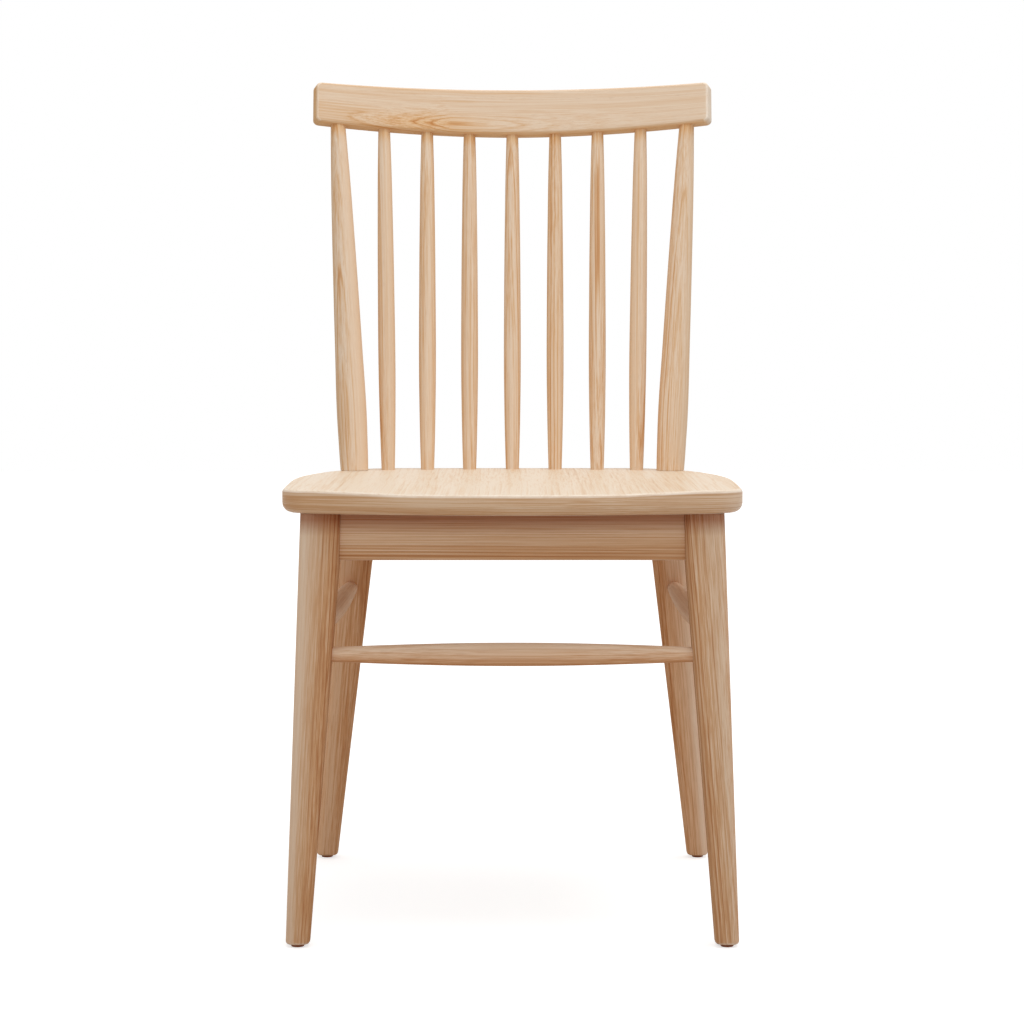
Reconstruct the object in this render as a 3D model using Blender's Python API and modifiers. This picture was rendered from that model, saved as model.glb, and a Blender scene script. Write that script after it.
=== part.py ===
# Wooden dining chair with a spindle back, modelled piece by piece.
# Metres, +Z up, the sitter faces -Y. While the pieces are placed, Y = 0 is the middle of
# the seat's front edge; at the end the whole chair moves so that the origin lies on the
# floor under the middle of its outer box.

import math

import bmesh
import bpy
from mathutils import Vector

# Fits shared by all joints
clearance = 0.0003        # gap between touching pieces
overlap = 0.004           # how far a cut or a joined tenon runs past a face
end_chamfer = 0.001       # on the hidden ends of tenons
merge_distance = 0.0001   # points nearer than this are one point
round_steps = 24          # sides of a thick round piece
slim_steps = 16           # sides of a slim round piece
arris_segments = 2        # facets of a small rounded edge, and of a larger one
corner_segments = 3
leg_arris_segments = 4
arris_angle = math.radians(50)     # an edge sharper than this is rounded
shading_angle = math.radians(40)   # an edge sharper than this is shaded hard

# Seat
seat_width = 0.466
seat_side_draw = 0.0025   # how far each side draws in from its widest to the front corner
seat_depth = 0.425
seat_height = 0.452       # floor to the rim
seat_thickness = 0.024
seat_front_bow = 0.037    # how far the front edge curves forward, over the whole width
seat_front_corner = 0.036 # plan radius
seat_rear_corner_x = 0.1035
seat_rear_corner_y = 0.225
seat_top_round = 0.0025
seat_bottom_round = 0.005
front_steps = 8           # points along half of each stretch of the outline
corner_steps = 6
side_steps = 4
rear_steps = 14
scoop_depth = 0.004
scoop_side_margin = 0.033     # flat border beside the scoop, and behind it
scoop_rear_margin = 0.065
scoop_deepest_y = 0.14
scoop_flat_share = 0.45       # of the scoop's half width, at full depth
scoop_front_share = 0.75      # of the depth, left where the scoop runs out at the front
scoop_columns = 14            # strips across and along the seat that carry the scoop
scoop_rows = 11

# Back
back_lean = math.radians(12)
back_height = 0.3862          # seat rim to the rail's lower edge, along the lean
row_inset = 0.022             # middle spindle to the seat's rear edge
row_sag = 0.027               # how far the row of feet curves forward to the posts
post_foot_inset = 0.0565      # in from the seat's widest side
post_head_inset = 0.0294      # in from the rail's end, along its length
foot_place_shares = (0, 0.273, 0.5405, 0.789)    # of post_foot_x, from the middle spindle
head_place_shares = (0, 0.2475, 0.4915, 0.738)   # of post_head_x
seat_socket_depth = 0.017
rail_socket_depth = 0.022

spindle_belly = 0.0192        # largest diameter
spindle_shares = (            # height along the spindle, diameter over the belly's
    (0, 0.77), (0.085, 0.865), (0.145, 0.917), (0.206, 0.955), (0.267, 0.987), (0.34, 1),
    (0.43, 0.992), (0.51, 0.974), (0.63, 0.943), (0.75, 0.89), (0.87, 0.825), (1, 0.70))

post_belly = 0.0333
post_shares = (
    (0, 0.92), (0.03, 0.946), (0.086, 0.973), (0.13, 0.994), (0.17, 1), (0.24, 0.981),
    (0.32, 0.938), (0.5, 0.855), (0.68, 0.758), (0.855, 0.64), (1, 0.501))
post_tenon = 0.02             # diameter of the round tenon under the post's shoulder

# Crest rail, bent in plan with its ends forward
rail_length = 0.4558
rail_radius = 0.8
rail_thickness = 0.022
rail_height = 0.0525
rail_end_rise = 0.006         # the lower edge curves up by this much at the ends
rail_rise_power = 1.6         # how sharply the lower edge turns up towards the ends
rail_corner = 0.0042
rail_arris = 0.003
rail_slices = 22

# Legs: square below the seat, tapered on their two inner faces under the aprons. A place
# is a pair: in from the seat's widest side, and in from its front or rear edge.
leg_top_width = 0.0402
leg_foot_width = 0.0238
leg_arris = 0.009
leg_foot_round = 0.003
front_foot = (0.0199, 0.0065)
front_top = (0.0416, 0.06)
rear_foot = (0.0187, -0.026)
rear_top = (0.0638, 0.067)

# Aprons under the seat
apron_height = 0.047
apron_thickness = 0.02
apron_setback = 0.007         # behind the legs' outer faces
tenon_thickness = 0.01
tenon_shoulder = 0.007        # above and below a tenon
tenon_gap = 0.0032            # wood left between the two tenons in a leg

# Stretchers, turned with a belly
stretcher_belly = 0.0235
stretcher_end = 0.015
stretcher_socket_depth = 0.013
front_stretcher_drop = 0.094        # below the aprons, at the stretcher's axis
side_stretcher_front_drop = 0.0732
side_stretcher_rear_drop = 0.0587
stretcher_stations = 12

# Corner blocks in the angles of the aprons
block_height = 0.026
block_length = 0.034          # along each apron
block_leg_gap = 0.016         # from the leg's inner corner, along each apron

# Screws
screw_head = 0.0084
screw_head_height = 0.0026
screw_shank = 0.0042
screw_tip = 0.003
leg_bite = 0.014              # how far a screw reaches into the leg
seat_bite = 0.013
seat_screw_offset = 0.0125    # beside the block's other screw

# Glides
glide_width = 0.013
glide_height = 0.0026
glide_edge = 0.0006
glide_pin = 0.0024
glide_pin_length = 0.011

# Colours, linear
pale_wood = (0.745, 0.575, 0.415)
seat_wood = (0.835, 0.690, 0.520)
warm_wood = (0.560, 0.385, 0.250)
block_wood = (0.640, 0.480, 0.330)
glide_brown = (0.250, 0.160, 0.105)
screw_steel = (0.560, 0.560, 0.570)

# Heights and places that follow from the sizes
seat_underside = seat_height - seat_thickness
frame_top = seat_underside - clearance
knee_height = frame_top - apron_height
tenon_height = apron_height - 2 * tenon_shoulder
tenon_middle = frame_top - apron_height / 2
tenon_length = leg_top_width - apron_setback - (apron_thickness + tenon_thickness) / 2 - tenon_gap
row_back_y = seat_depth - row_inset
post_foot_x = seat_width / 2 - post_foot_inset
post_head_x = rail_length / 2 - post_head_inset
scoop_half_width = seat_width / 2 - scoop_side_margin
scoop_rear_y = seat_depth - scoop_rear_margin
leg_bottom = glide_height + clearance

for old in list(bpy.data.objects):
    bpy.data.objects.remove(old, do_unlink=True)

chair = bpy.data.collections.new("dining_chair")
cutters = bpy.data.collections.new("cutters")
bpy.context.scene.collection.children.link(chair)
bpy.context.scene.collection.children.link(cutters)

chair_origin = bpy.data.objects.new("chair_origin", None)
chair.objects.link(chair_origin)


def blend(start, end, share):
    return start + (end - start) * share


def smooth(share):
    share = min(max(share, 0), 1)
    return share * share * (3 - 2 * share)


def finish(obj, name, colour, roughness, metallic=0):
    material = bpy.data.materials.new(name + "_finish")
    material.use_nodes = True
    shader = material.node_tree.nodes["Principled BSDF"]
    shader.inputs["Base Color"].default_value = (*colour, 1)
    shader.inputs["Roughness"].default_value = roughness
    shader.inputs["Metallic"].default_value = metallic
    material.diffuse_color = (*colour, 1)
    obj.data.materials.clear()
    obj.data.materials.append(material)


def new_piece(name, mesh, location, colour, roughness=0.5, metallic=0):
    piece = bpy.data.objects.new(name, mesh)
    chair.objects.link(piece)
    piece.parent = chair_origin
    piece.location = location
    finish(piece, name, colour, roughness, metallic)
    return piece


def new_cutter(name, mesh, location):
    cutter = bpy.data.objects.new(name, mesh)
    cutters.objects.link(cutter)
    cutter.parent = chair_origin
    cutter.location = location
    cutter.hide_render = True
    cutter.display_type = "WIRE"
    return cutter


def combine(target, tool, operation):
    modifier = target.modifiers.new(tool.name, "BOOLEAN")
    modifier.operation = operation
    modifier.object = tool


def mesh_from(bm, name):
    bmesh.ops.recalc_face_normals(bm, faces=bm.faces)
    mesh = bpy.data.meshes.new(name)
    bm.to_mesh(mesh)
    bm.free()
    return mesh


def round_shading(obj):
    obj.data.shade_smooth()
    obj.data.set_sharp_from_angle(angle=shading_angle)


def along(obj, direction):
    obj.rotation_mode = "QUATERNION"
    obj.rotation_quaternion = direction.to_track_quat("Z", "Y")


# Shared ways of making a shape
def turned_mesh(name, profile):
    """Edges of a turning's outer side, as (radius, height) from its top end down."""
    bm = bmesh.new()
    verts = [bm.verts.new((radius, 0, height)) for radius, height in profile]
    for upper, lower in zip(verts, verts[1:]):
        bm.edges.new((upper, lower))
    mesh = bpy.data.meshes.new(name)
    bm.to_mesh(mesh)
    bm.free()
    return mesh


def add_turning(obj, steps):
    screw = obj.modifiers.new("turning", "SCREW")
    screw.axis = "Z"
    screw.steps = steps
    screw.render_steps = steps
    screw.use_smooth_shade = True
    screw.use_merge_vertices = True
    screw.merge_threshold = merge_distance


def turned_piece(name, profile, start, direction, colour, steps, roughness=0.5, metallic=0):
    piece = new_piece(name, turned_mesh(name, profile), start, colour, roughness, metallic)
    along(piece, direction)
    add_turning(piece, steps)
    return piece


def rod_cutter(name, start, direction, radius, low, high, steps):
    """A round cutter on an axis, from low to high measured from start."""
    bm = bmesh.new()
    bmesh.ops.create_cone(bm, cap_ends=True, segments=steps, radius1=radius, radius2=radius,
                          depth=high - low)
    cutter = new_cutter(name, mesh_from(bm, name), start + direction * ((low + high) / 2))
    along(cutter, direction)
    return cutter


def box_tool(name, middle, size, turn=0):
    bm = bmesh.new()
    bmesh.ops.create_cube(bm, size=1)
    bmesh.ops.scale(bm, vec=size, verts=bm.verts)
    tool = new_cutter(name, mesh_from(bm, name), middle)
    tool.rotation_euler = (0, 0, turn)
    return tool


def shaped_block(name, corner, colour):
    """A cube whose corners go where corner(x side, y side, z side) says, sides -1 or 1."""
    bm = bmesh.new()
    bmesh.ops.create_cube(bm, size=2)
    places = [corner(*(round(c) for c in vert.co)) for vert in bm.verts]
    middle = sum(places, Vector()) / len(places)
    for vert, place in zip(bm.verts, places):
        vert.co = place - middle
    return new_piece(name, mesh_from(bm, name), middle, colour)


def outline_mesh(name, points, thickness):
    """A flat outline with thickness, as one clean mesh."""
    curve = bpy.data.curves.new(name + "_outline", "CURVE")
    curve.dimensions = "2D"
    curve.fill_mode = "BOTH"
    curve.extrude = thickness / 2
    spline = curve.splines.new("POLY")
    spline.points.add(len(points) - 1)
    for point, (x, y) in zip(spline.points, points):
        point.co = (x, y, 0, 1)
    spline.use_cyclic_u = True
    guide = bpy.data.objects.new(name + "_outline", curve)
    chair.objects.link(guide)
    bpy.context.view_layer.update()
    evaluated = guide.evaluated_get(bpy.context.evaluated_depsgraph_get())
    mesh = bpy.data.meshes.new_from_object(evaluated)
    bpy.data.objects.remove(guide, do_unlink=True)
    bpy.data.curves.remove(curve)
    bm = bmesh.new()
    bm.from_mesh(mesh)
    bpy.data.meshes.remove(mesh)
    bmesh.ops.remove_doubles(bm, verts=bm.verts, dist=merge_distance)
    bmesh.ops.dissolve_limit(bm, angle_limit=math.radians(0.3), verts=bm.verts, edges=bm.edges)
    return bm


def slice_mesh(bm, point, normal):
    everything = bm.verts[:] + bm.edges[:] + bm.faces[:]
    bmesh.ops.bisect_plane(bm, geom=everything, plane_co=point, plane_no=normal)


def round_edges(bm, chosen, radius, segments):
    edges = [edge for edge in bm.edges if chosen(edge)]
    bmesh.ops.bevel(bm, geom=edges, offset=radius, segments=segments, profile=0.5,
                    affect="EDGES", clamp_overlap=True)


# Seat
def seat_outline():
    """Bowed front, round front corners, sides that swell, and a wide curve at each rear."""
    half = seat_width / 2
    front_half = half - seat_side_draw
    front_radius = (half ** 2 + seat_front_bow ** 2) / (2 * seat_front_bow)
    corner_x = front_half - seat_front_corner
    to_corner = front_radius - seat_front_corner
    corner_y = front_radius - math.sqrt(to_corner ** 2 - corner_x ** 2)
    turn = math.atan2(corner_x, front_radius - corner_y)
    widest_y = seat_depth - seat_rear_corner_y
    right = []
    for step in range(1, front_steps + 1):
        angle = turn * step / front_steps
        right.append((front_radius * math.sin(angle), front_radius * (1 - math.cos(angle))))
    for step in range(1, corner_steps + 1):
        angle = (turn - math.pi / 2) * (1 - step / corner_steps)
        right.append((corner_x + seat_front_corner * math.cos(angle),
                      corner_y + seat_front_corner * math.sin(angle)))
    for step in range(1, side_steps):
        share = step / side_steps
        right.append((blend(front_half, half, 1 - (1 - share) ** 2),
                      blend(corner_y, widest_y, share)))
    for step in range(rear_steps + 1):
        angle = math.pi / 2 * step / rear_steps
        right.append((half - seat_rear_corner_x * (1 - math.cos(angle)),
                      seat_depth - seat_rear_corner_y * (1 - math.sin(angle))))
    left = [(-x, y) for x, y in reversed(right)]
    return [(0, 0)] + right + left


def scoop_at(x, y):
    across = (abs(x) / scoop_half_width - scoop_flat_share) / (1 - scoop_flat_share)
    if y > scoop_deepest_y:
        along_seat = 1 - smooth((y - scoop_deepest_y) / (scoop_rear_y - scoop_deepest_y))
    else:
        forward = (scoop_deepest_y - y) / scoop_deepest_y
        along_seat = 1 - (1 - scoop_front_share) * smooth(forward)
    return scoop_depth * (1 - smooth(across)) * along_seat


def make_seat():
    bm = outline_mesh("seat", seat_outline(), seat_thickness)

    def rim(edge, side):
        level = all(vert.co.z * side > seat_thickness / 4 for vert in edge.verts)
        return level and abs(edge.calc_face_angle() - math.pi / 2) < math.radians(5)

    round_edges(bm, lambda edge: rim(edge, 1), seat_top_round, arris_segments)
    round_edges(bm, lambda edge: rim(edge, -1), seat_bottom_round, corner_segments)
    for step in range(1, scoop_columns):
        x = blend(-scoop_half_width, scoop_half_width, step / scoop_columns)
        slice_mesh(bm, (x, 0, 0), (1, 0, 0))
    for step in range(1, scoop_rows + 1):
        slice_mesh(bm, (0, scoop_rear_y * step / scoop_rows, 0), (0, 1, 0))
    for vert in bm.verts:
        if vert.co.z > 0:
            vert.co.z -= scoop_at(vert.co.x, vert.co.y)
    seat = new_piece("seat", mesh_from(bm, "seat"), (0, 0, seat_height - seat_thickness / 2),
                     seat_wood)
    round_shading(seat)
    return seat


# Back
def rail_point(angle, depth, height):
    """A point of the bent rail: angle round its bend, depth behind its middle, and height."""
    radius = rail_radius + depth
    return Vector((radius * math.sin(angle), radius * math.cos(angle) - rail_radius, height))


def rail_lower_edge(length_from_middle):
    return rail_end_rise * abs(length_from_middle / (rail_length / 2)) ** rail_rise_power


def rail_base():
    """The middle of the rail's underside."""
    return Vector((0, row_back_y + back_height * math.sin(back_lean),
                   seat_height + back_height * math.cos(back_lean)))


def make_crest_rail():
    bm = bmesh.new()
    bmesh.ops.create_cube(bm, size=1)
    bmesh.ops.translate(bm, vec=(0, 0, 0.5), verts=bm.verts)
    bmesh.ops.scale(bm, vec=(rail_length, rail_thickness, rail_height), verts=bm.verts)

    def corner(edge):
        first, second = (vert.co for vert in edge.verts)
        return abs(first.y - second.y) > rail_thickness / 2

    round_edges(bm, corner, rail_corner, corner_segments)
    sliced_length = rail_length - 4 * rail_corner
    for step in range(rail_slices + 1):
        x = sliced_length * (step / rail_slices - 0.5)
        slice_mesh(bm, (x, 0, 0), (1, 0, 0))
    for vert in bm.verts:
        x, y, z = vert.co
        lift = rail_lower_edge(x) * (1 - z / rail_height)
        vert.co = rail_point(x / rail_radius, y, z + lift)
    rail = new_piece("crest_rail", mesh_from(bm, "crest_rail"), rail_base(), pale_wood)
    rail.rotation_euler = (-back_lean, 0, 0)
    round_shading(rail)
    bevel = rail.modifiers.new("arris", "BEVEL")
    bevel.width = rail_arris
    bevel.segments = arris_segments
    bevel.limit_method = "ANGLE"
    bevel.angle_limit = arris_angle
    return rail


def foot_point(x):
    return Vector((x, row_back_y - row_sag * (x / post_foot_x) ** 2, seat_height))


def head_point(x):
    """Where a head's axis meets the middle of the rail's lower edge."""
    angle = math.asin(x / rail_radius)
    local = rail_point(angle, 0, rail_lower_edge(angle * rail_radius))
    up = Vector((0, math.sin(back_lean), math.cos(back_lean)))
    back = Vector((0, math.cos(back_lean), -math.sin(back_lean)))
    return rail_base() + Vector((local.x, 0, 0)) + back * local.y + up * local.z


def body_profile(shares, belly, length):
    """The swelling body as (radius, height), from its head down to its foot."""
    return [(belly * size / 2, length * place) for place, size in reversed(shares)]


def blind_end(radius, height, toward):
    """The chamfered end of a round tenon; toward is 1 for a top end and -1 for a foot."""
    points = [(0, height), (radius - end_chamfer, height),
              (radius, height - toward * end_chamfer)]
    return points if toward > 0 else points[::-1]


def make_spindle(name, foot_x, head_x, seat, rail):
    start = foot_point(foot_x)
    reach = head_point(head_x) - start
    direction = reach.normalized()
    length = reach.length
    body = body_profile(spindle_shares, spindle_belly, length)
    head_radius = body[0][0]
    foot_radius = body[-1][0]
    profile = (blind_end(head_radius, length + rail_socket_depth, 1) + body
               + blind_end(foot_radius, -seat_socket_depth, -1))
    turned_piece(name, profile, start, direction, pale_wood, slim_steps)
    socket = rod_cutter(name + "_seat_socket", start, direction, foot_radius + clearance,
                        -seat_socket_depth - clearance, overlap, slim_steps)
    combine(seat, socket, "DIFFERENCE")
    socket = rod_cutter(name + "_rail_socket", start, direction, head_radius + clearance,
                        length - overlap, length + rail_socket_depth + clearance, slim_steps)
    combine(rail, socket, "DIFFERENCE")


def make_post(name, side, seat, rail):
    start = foot_point(side * post_foot_x)
    reach = head_point(side * post_head_x) - start
    direction = reach.normalized()
    length = reach.length
    body = body_profile(post_shares, post_belly, length)
    head_radius = body[0][0]
    foot_radius = body[-1][0]
    below = foot_radius * math.tan(back_lean) + overlap
    profile = blind_end(head_radius, length + rail_socket_depth, 1) + body
    profile += [(foot_radius, -below), (0, -below)]
    post = turned_piece(name, profile, start, direction, pale_wood, round_steps)

    span = 2 * (foot_radius + below)
    shoulder = box_tool(name + "_shoulder_cut",
                        start + Vector((0, 0, clearance - below)), (span, span, 2 * below))
    combine(post, shoulder, "DIFFERENCE")

    tenon_radius = post_tenon / 2
    tenon = rod_cutter(name + "_tenon", start, direction, tenon_radius,
                       -seat_socket_depth, foot_radius, slim_steps)
    combine(post, tenon, "UNION")
    socket = rod_cutter(name + "_seat_socket", start, direction, tenon_radius + clearance,
                        -seat_socket_depth - clearance, overlap, slim_steps)
    combine(seat, socket, "DIFFERENCE")
    socket = rod_cutter(name + "_rail_socket", start, direction, head_radius + clearance,
                        length - overlap, length + rail_socket_depth + clearance, round_steps)
    combine(rail, socket, "DIFFERENCE")


# Legs
class Leg:
    """Faces of one leg: the two outer faces are straight, the two inner ones taper."""

    def __init__(self, foot, top, side, front):
        self.foot = self.place(foot, side, front)
        self.top = self.place(top, side, front)
        self.outward = (side, -1 if front else 1)
        self.name = ("front" if front else "rear") + "_leg_" + ("right" if side > 0 else "left")
        self.piece = None

    def place(self, insets, side, front):
        in_from_side, in_from_edge = insets
        y = in_from_edge if front else seat_depth - in_from_edge
        return side * (seat_width / 2 - in_from_side), y

    def outer(self, axis, z):
        out = self.outward[axis]
        low = self.foot[axis] + out * leg_foot_width / 2
        high = self.top[axis] + out * leg_top_width / 2
        return blend(low, high, z / frame_top)

    def inner(self, axis, z):
        out = self.outward[axis]
        if z >= knee_height:
            return self.outer(axis, z) - out * leg_top_width
        low = self.foot[axis] - out * leg_foot_width / 2
        high = self.outer(axis, knee_height) - out * leg_top_width
        return blend(low, high, z / knee_height)

    def axis_point(self, z):
        return Vector(((self.outer(0, z) + self.inner(0, z)) / 2,
                       (self.outer(1, z) + self.inner(1, z)) / 2, z))

    def corner(self, z, toward_x, toward_y):
        x = self.outer(0, z) if toward_x == self.outward[0] else self.inner(0, z)
        y = self.outer(1, z) if toward_y == self.outward[1] else self.inner(1, z)
        return Vector((x, y, z))


def make_leg(leg):
    bm = bmesh.new()
    bmesh.ops.create_cube(bm, size=2)
    slice_mesh(bm, (0, 0, 0), (0, 0, 1))
    heights = {-1: leg_bottom, 0: knee_height, 1: frame_top}
    start = leg.axis_point(leg_bottom)
    for vert in bm.verts:
        x, y, z = (round(c) for c in vert.co)
        vert.co = leg.corner(heights[z], x, y) - start

    def upright(edge):
        first, second = (vert.co for vert in edge.verts)
        return abs(first.z - second.z) > leg_foot_width

    round_edges(bm, upright, leg_arris, leg_arris_segments)

    def sole(edge):
        return all(abs(vert.co.z) < leg_foot_round / 2 for vert in edge.verts)

    round_edges(bm, sole, leg_foot_round, arris_segments)
    leg.piece = new_piece(leg.name, mesh_from(bm, leg.name), start, pale_wood)
    round_shading(leg.piece)


def make_glide(leg):
    name = leg.name.replace("leg", "glide")
    start = Vector((leg.foot[0], leg.foot[1], 0))
    radius = glide_width / 2
    pin = glide_pin / 2
    top = glide_height + glide_pin_length
    profile = [(0, top), (pin, top), (pin, glide_height), (radius - glide_edge, glide_height),
               (radius, glide_height - glide_edge), (radius, glide_edge),
               (radius - glide_edge, 0), (0, 0)]
    up = Vector((0, 0, 1))
    turned_piece(name, profile, start, up, glide_brown, slim_steps, 0.6)
    hole = rod_cutter(name + "_hole", start, up, pin + clearance, 0, top + clearance, slim_steps)
    combine(leg.piece, hole, "DIFFERENCE")


# Aprons
def add_tenon(apron, leg, name, root, direction):
    """A tenon on the apron's end and its mortise in the leg. root is on the shoulder."""
    turn = math.atan2(direction.y, direction.x)
    reach = tenon_length + overlap
    middle = root + direction * (reach / 2 - overlap)
    tenon = box_tool(name + "_tenon", middle, (reach, tenon_thickness, tenon_height), turn)
    combine(apron, tenon, "UNION")
    reach = tenon_length + 2 * overlap + clearance
    middle = root + direction * (reach / 2 - 2 * overlap)
    mortise = box_tool(name + "_mortise", middle,
                       (reach, tenon_thickness + 2 * clearance, tenon_height + 2 * clearance),
                       turn)
    combine(leg.piece, mortise, "DIFFERENCE")


def make_cross_apron(name, left, right, face_y, back_y):
    """The front or rear apron between a pair of legs; face_y is its outer face."""

    def corner(x, y, z):
        height = frame_top if z > 0 else knee_height
        leg = right if x > 0 else left
        low, high = sorted((face_y, back_y))
        return Vector((leg.inner(0, height) - leg.outward[0] * clearance,
                       high if y > 0 else low, height))

    apron = shaped_block(name, corner, warm_wood)
    middle_y = (face_y + back_y) / 2
    for leg in (left, right):
        shoulder = leg.inner(0, tenon_middle) - leg.outward[0] * clearance
        add_tenon(apron, leg, leg.name + "_cross", Vector((shoulder, middle_y, tenon_middle)),
                  Vector((leg.outward[0], 0, 0)))


class SideLine:
    """The slanting outer face of a side apron, as X over Y."""

    def __init__(self, front, rear):
        self.side = front.outward[0]
        self.y0 = front.inner(1, tenon_middle)
        self.y1 = rear.inner(1, tenon_middle)
        self.x0 = front.outer(0, tenon_middle) - self.side * apron_setback
        self.x1 = rear.outer(0, tenon_middle) - self.side * apron_setback
        self.direction = Vector((self.x1 - self.x0, self.y1 - self.y0, 0)).normalized()

    def x_at(self, y, inset):
        """X at depth inset, measured square to the face."""
        outer = blend(self.x0, self.x1, (y - self.y0) / (self.y1 - self.y0))
        return outer - self.side * inset / self.direction.y


def make_side_apron(name, front, rear, line):

    def corner(x, y, z):
        height = frame_top if z > 0 else knee_height
        leg = rear if y > 0 else front
        end_y = leg.inner(1, height) - leg.outward[1] * clearance
        inset = 0 if x == line.side else apron_thickness
        return Vector((line.x_at(end_y, inset), end_y, height))

    apron = shaped_block(name, corner, warm_wood)
    for leg, direction in ((front, -line.direction), (rear, line.direction)):
        end_y = leg.inner(1, tenon_middle) - leg.outward[1] * clearance
        root = Vector((line.x_at(end_y, apron_thickness / 2), end_y, tenon_middle))
        add_tenon(apron, leg, leg.name + "_side", root, direction)


# Stretchers
def make_stretcher(name, first, second, first_drop, second_drop):
    """A cigar shape between two legs, its ends housed at full width."""
    first_height = knee_height - first_drop
    second_height = knee_height - second_drop
    start = first.axis_point(first_height)
    reach = second.axis_point(second_height) - start
    direction = reach.normalized()
    axis = 0 if abs(direction.x) > abs(direction.y) else 1
    low = (first.inner(axis, first_height) - start[axis]) / direction[axis]
    high = (second.inner(axis, second_height) - start[axis]) / direction[axis]
    end_radius = stretcher_end / 2
    body = []
    for step in range(stretcher_stations + 1):
        share = step / stretcher_stations
        swell = math.sin(math.pi * share)
        radius = blend(end_radius, stretcher_belly / 2, swell)
        body.append((radius, blend(high, low, share)))
    profile = (blind_end(end_radius, high + stretcher_socket_depth, 1) + body
               + blind_end(end_radius, low - stretcher_socket_depth, -1))
    turned_piece(name, profile, start, direction, warm_wood, slim_steps)
    depth = stretcher_socket_depth + clearance
    for leg, low_end, high_end in ((first, low - depth, low + overlap),
                                   (second, high - overlap, high + depth)):
        socket = rod_cutter(name + "_socket_" + leg.name, start, direction,
                            end_radius + clearance, low_end, high_end, slim_steps)
        combine(leg.piece, socket, "DIFFERENCE")


# Corner blocks and screws
def block_plan(leg, line, cross_y):
    """Plan corners of a block: near and far points on the cross apron, then on the side one."""
    x_way = -leg.outward[0]
    y_way = -leg.outward[1]
    leg_x = leg.inner(0, tenon_middle)
    leg_y = leg.inner(1, tenon_middle)
    near = block_leg_gap
    far = block_leg_gap + block_length
    on_cross = [Vector((leg_x + x_way * step, cross_y + y_way * clearance, 0))
                for step in (near, far)]
    on_side = []
    for step in (near, far):
        y = leg_y + y_way * step
        on_side.append(Vector((line.x_at(y, apron_thickness + clearance), y, 0)))
    return on_cross, on_side


def make_corner_block(leg, line, cross_y):
    on_cross, on_side = block_plan(leg, line, cross_y)
    top = frame_top
    bottom = frame_top - block_height

    def corner(x, y, z):
        plan = (on_side if x > 0 else on_cross)[1 if y > 0 else 0]
        return plan + Vector((0, 0, top if z > 0 else bottom))

    name = leg.name.replace("leg", "corner_block")
    return shaped_block(name, corner, block_wood)


def screw_profile(length):
    head = screw_head / 2
    shank = screw_shank / 2
    return [(0, length), (shank, length - screw_tip), (shank, 0), (head, 0),
            (head, -screw_head_height * 2 / 3), (head * 2 / 3, -screw_head_height),
            (0, -screw_head_height)]


def drive_screw(name, start, direction, length, held):
    """A screw whose head seats at start, with its hole through each piece in held."""
    turned_piece(name, screw_profile(length), start, direction, screw_steel, slim_steps, 0.35, 1)
    for piece in held:
        hole = rod_cutter(name + "_hole_in_" + piece.name, start, direction,
                          screw_shank / 2 + clearance, -overlap, length + clearance, slim_steps)
        combine(piece, hole, "DIFFERENCE")


def place_screws(leg, line, cross_y, block, seat):
    """One screw through the block into its leg, and one up into the seat."""
    on_cross, on_side = block_plan(leg, line, cross_y)
    lengthwise = (on_side[1] - on_cross[1]).normalized()
    inward = Vector((lengthwise.y, -lengthwise.x, 0))
    face = (on_cross[1] + on_side[1]) / 2
    leg_corner = Vector((leg.inner(0, tenon_middle), leg.inner(1, tenon_middle), 0))
    if inward.dot(leg_corner - face) < 0:
        inward = -inward
    head_seat = face - inward * clearance + Vector((0, 0, frame_top - block_height / 2))
    length = inward.dot(leg_corner - face) + leg_bite
    drive_screw(leg.name.replace("leg", "block_screw"), head_seat, inward, length,
                (leg.piece, block))

    plan_middle = (on_cross[0] + on_cross[1] + on_side[0] + on_side[1]) / 4
    under_block = Vector((0, 0, frame_top - block_height - clearance))
    start = plan_middle + lengthwise * seat_screw_offset + under_block
    drive_screw(leg.name.replace("leg", "seat_screw"), start, Vector((0, 0, 1)),
                block_height + seat_bite, (block, seat))


def centre_on_floor():
    """Move the whole chair so that the origin is under the middle of its outer box."""
    bpy.context.view_layer.update()
    depsgraph = bpy.context.evaluated_depsgraph_get()
    lows = [math.inf] * 3
    highs = [-math.inf] * 3
    for piece in chair.objects:
        if piece.type != "MESH":
            continue
        evaluated = piece.evaluated_get(depsgraph)
        for corner in evaluated.bound_box:
            place = evaluated.matrix_world @ Vector(corner)
            lows = [min(a, b) for a, b in zip(lows, place)]
            highs = [max(a, b) for a, b in zip(highs, place)]
    chair_origin.location = (-(lows[0] + highs[0]) / 2, -(lows[1] + highs[1]) / 2, -lows[2])


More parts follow.
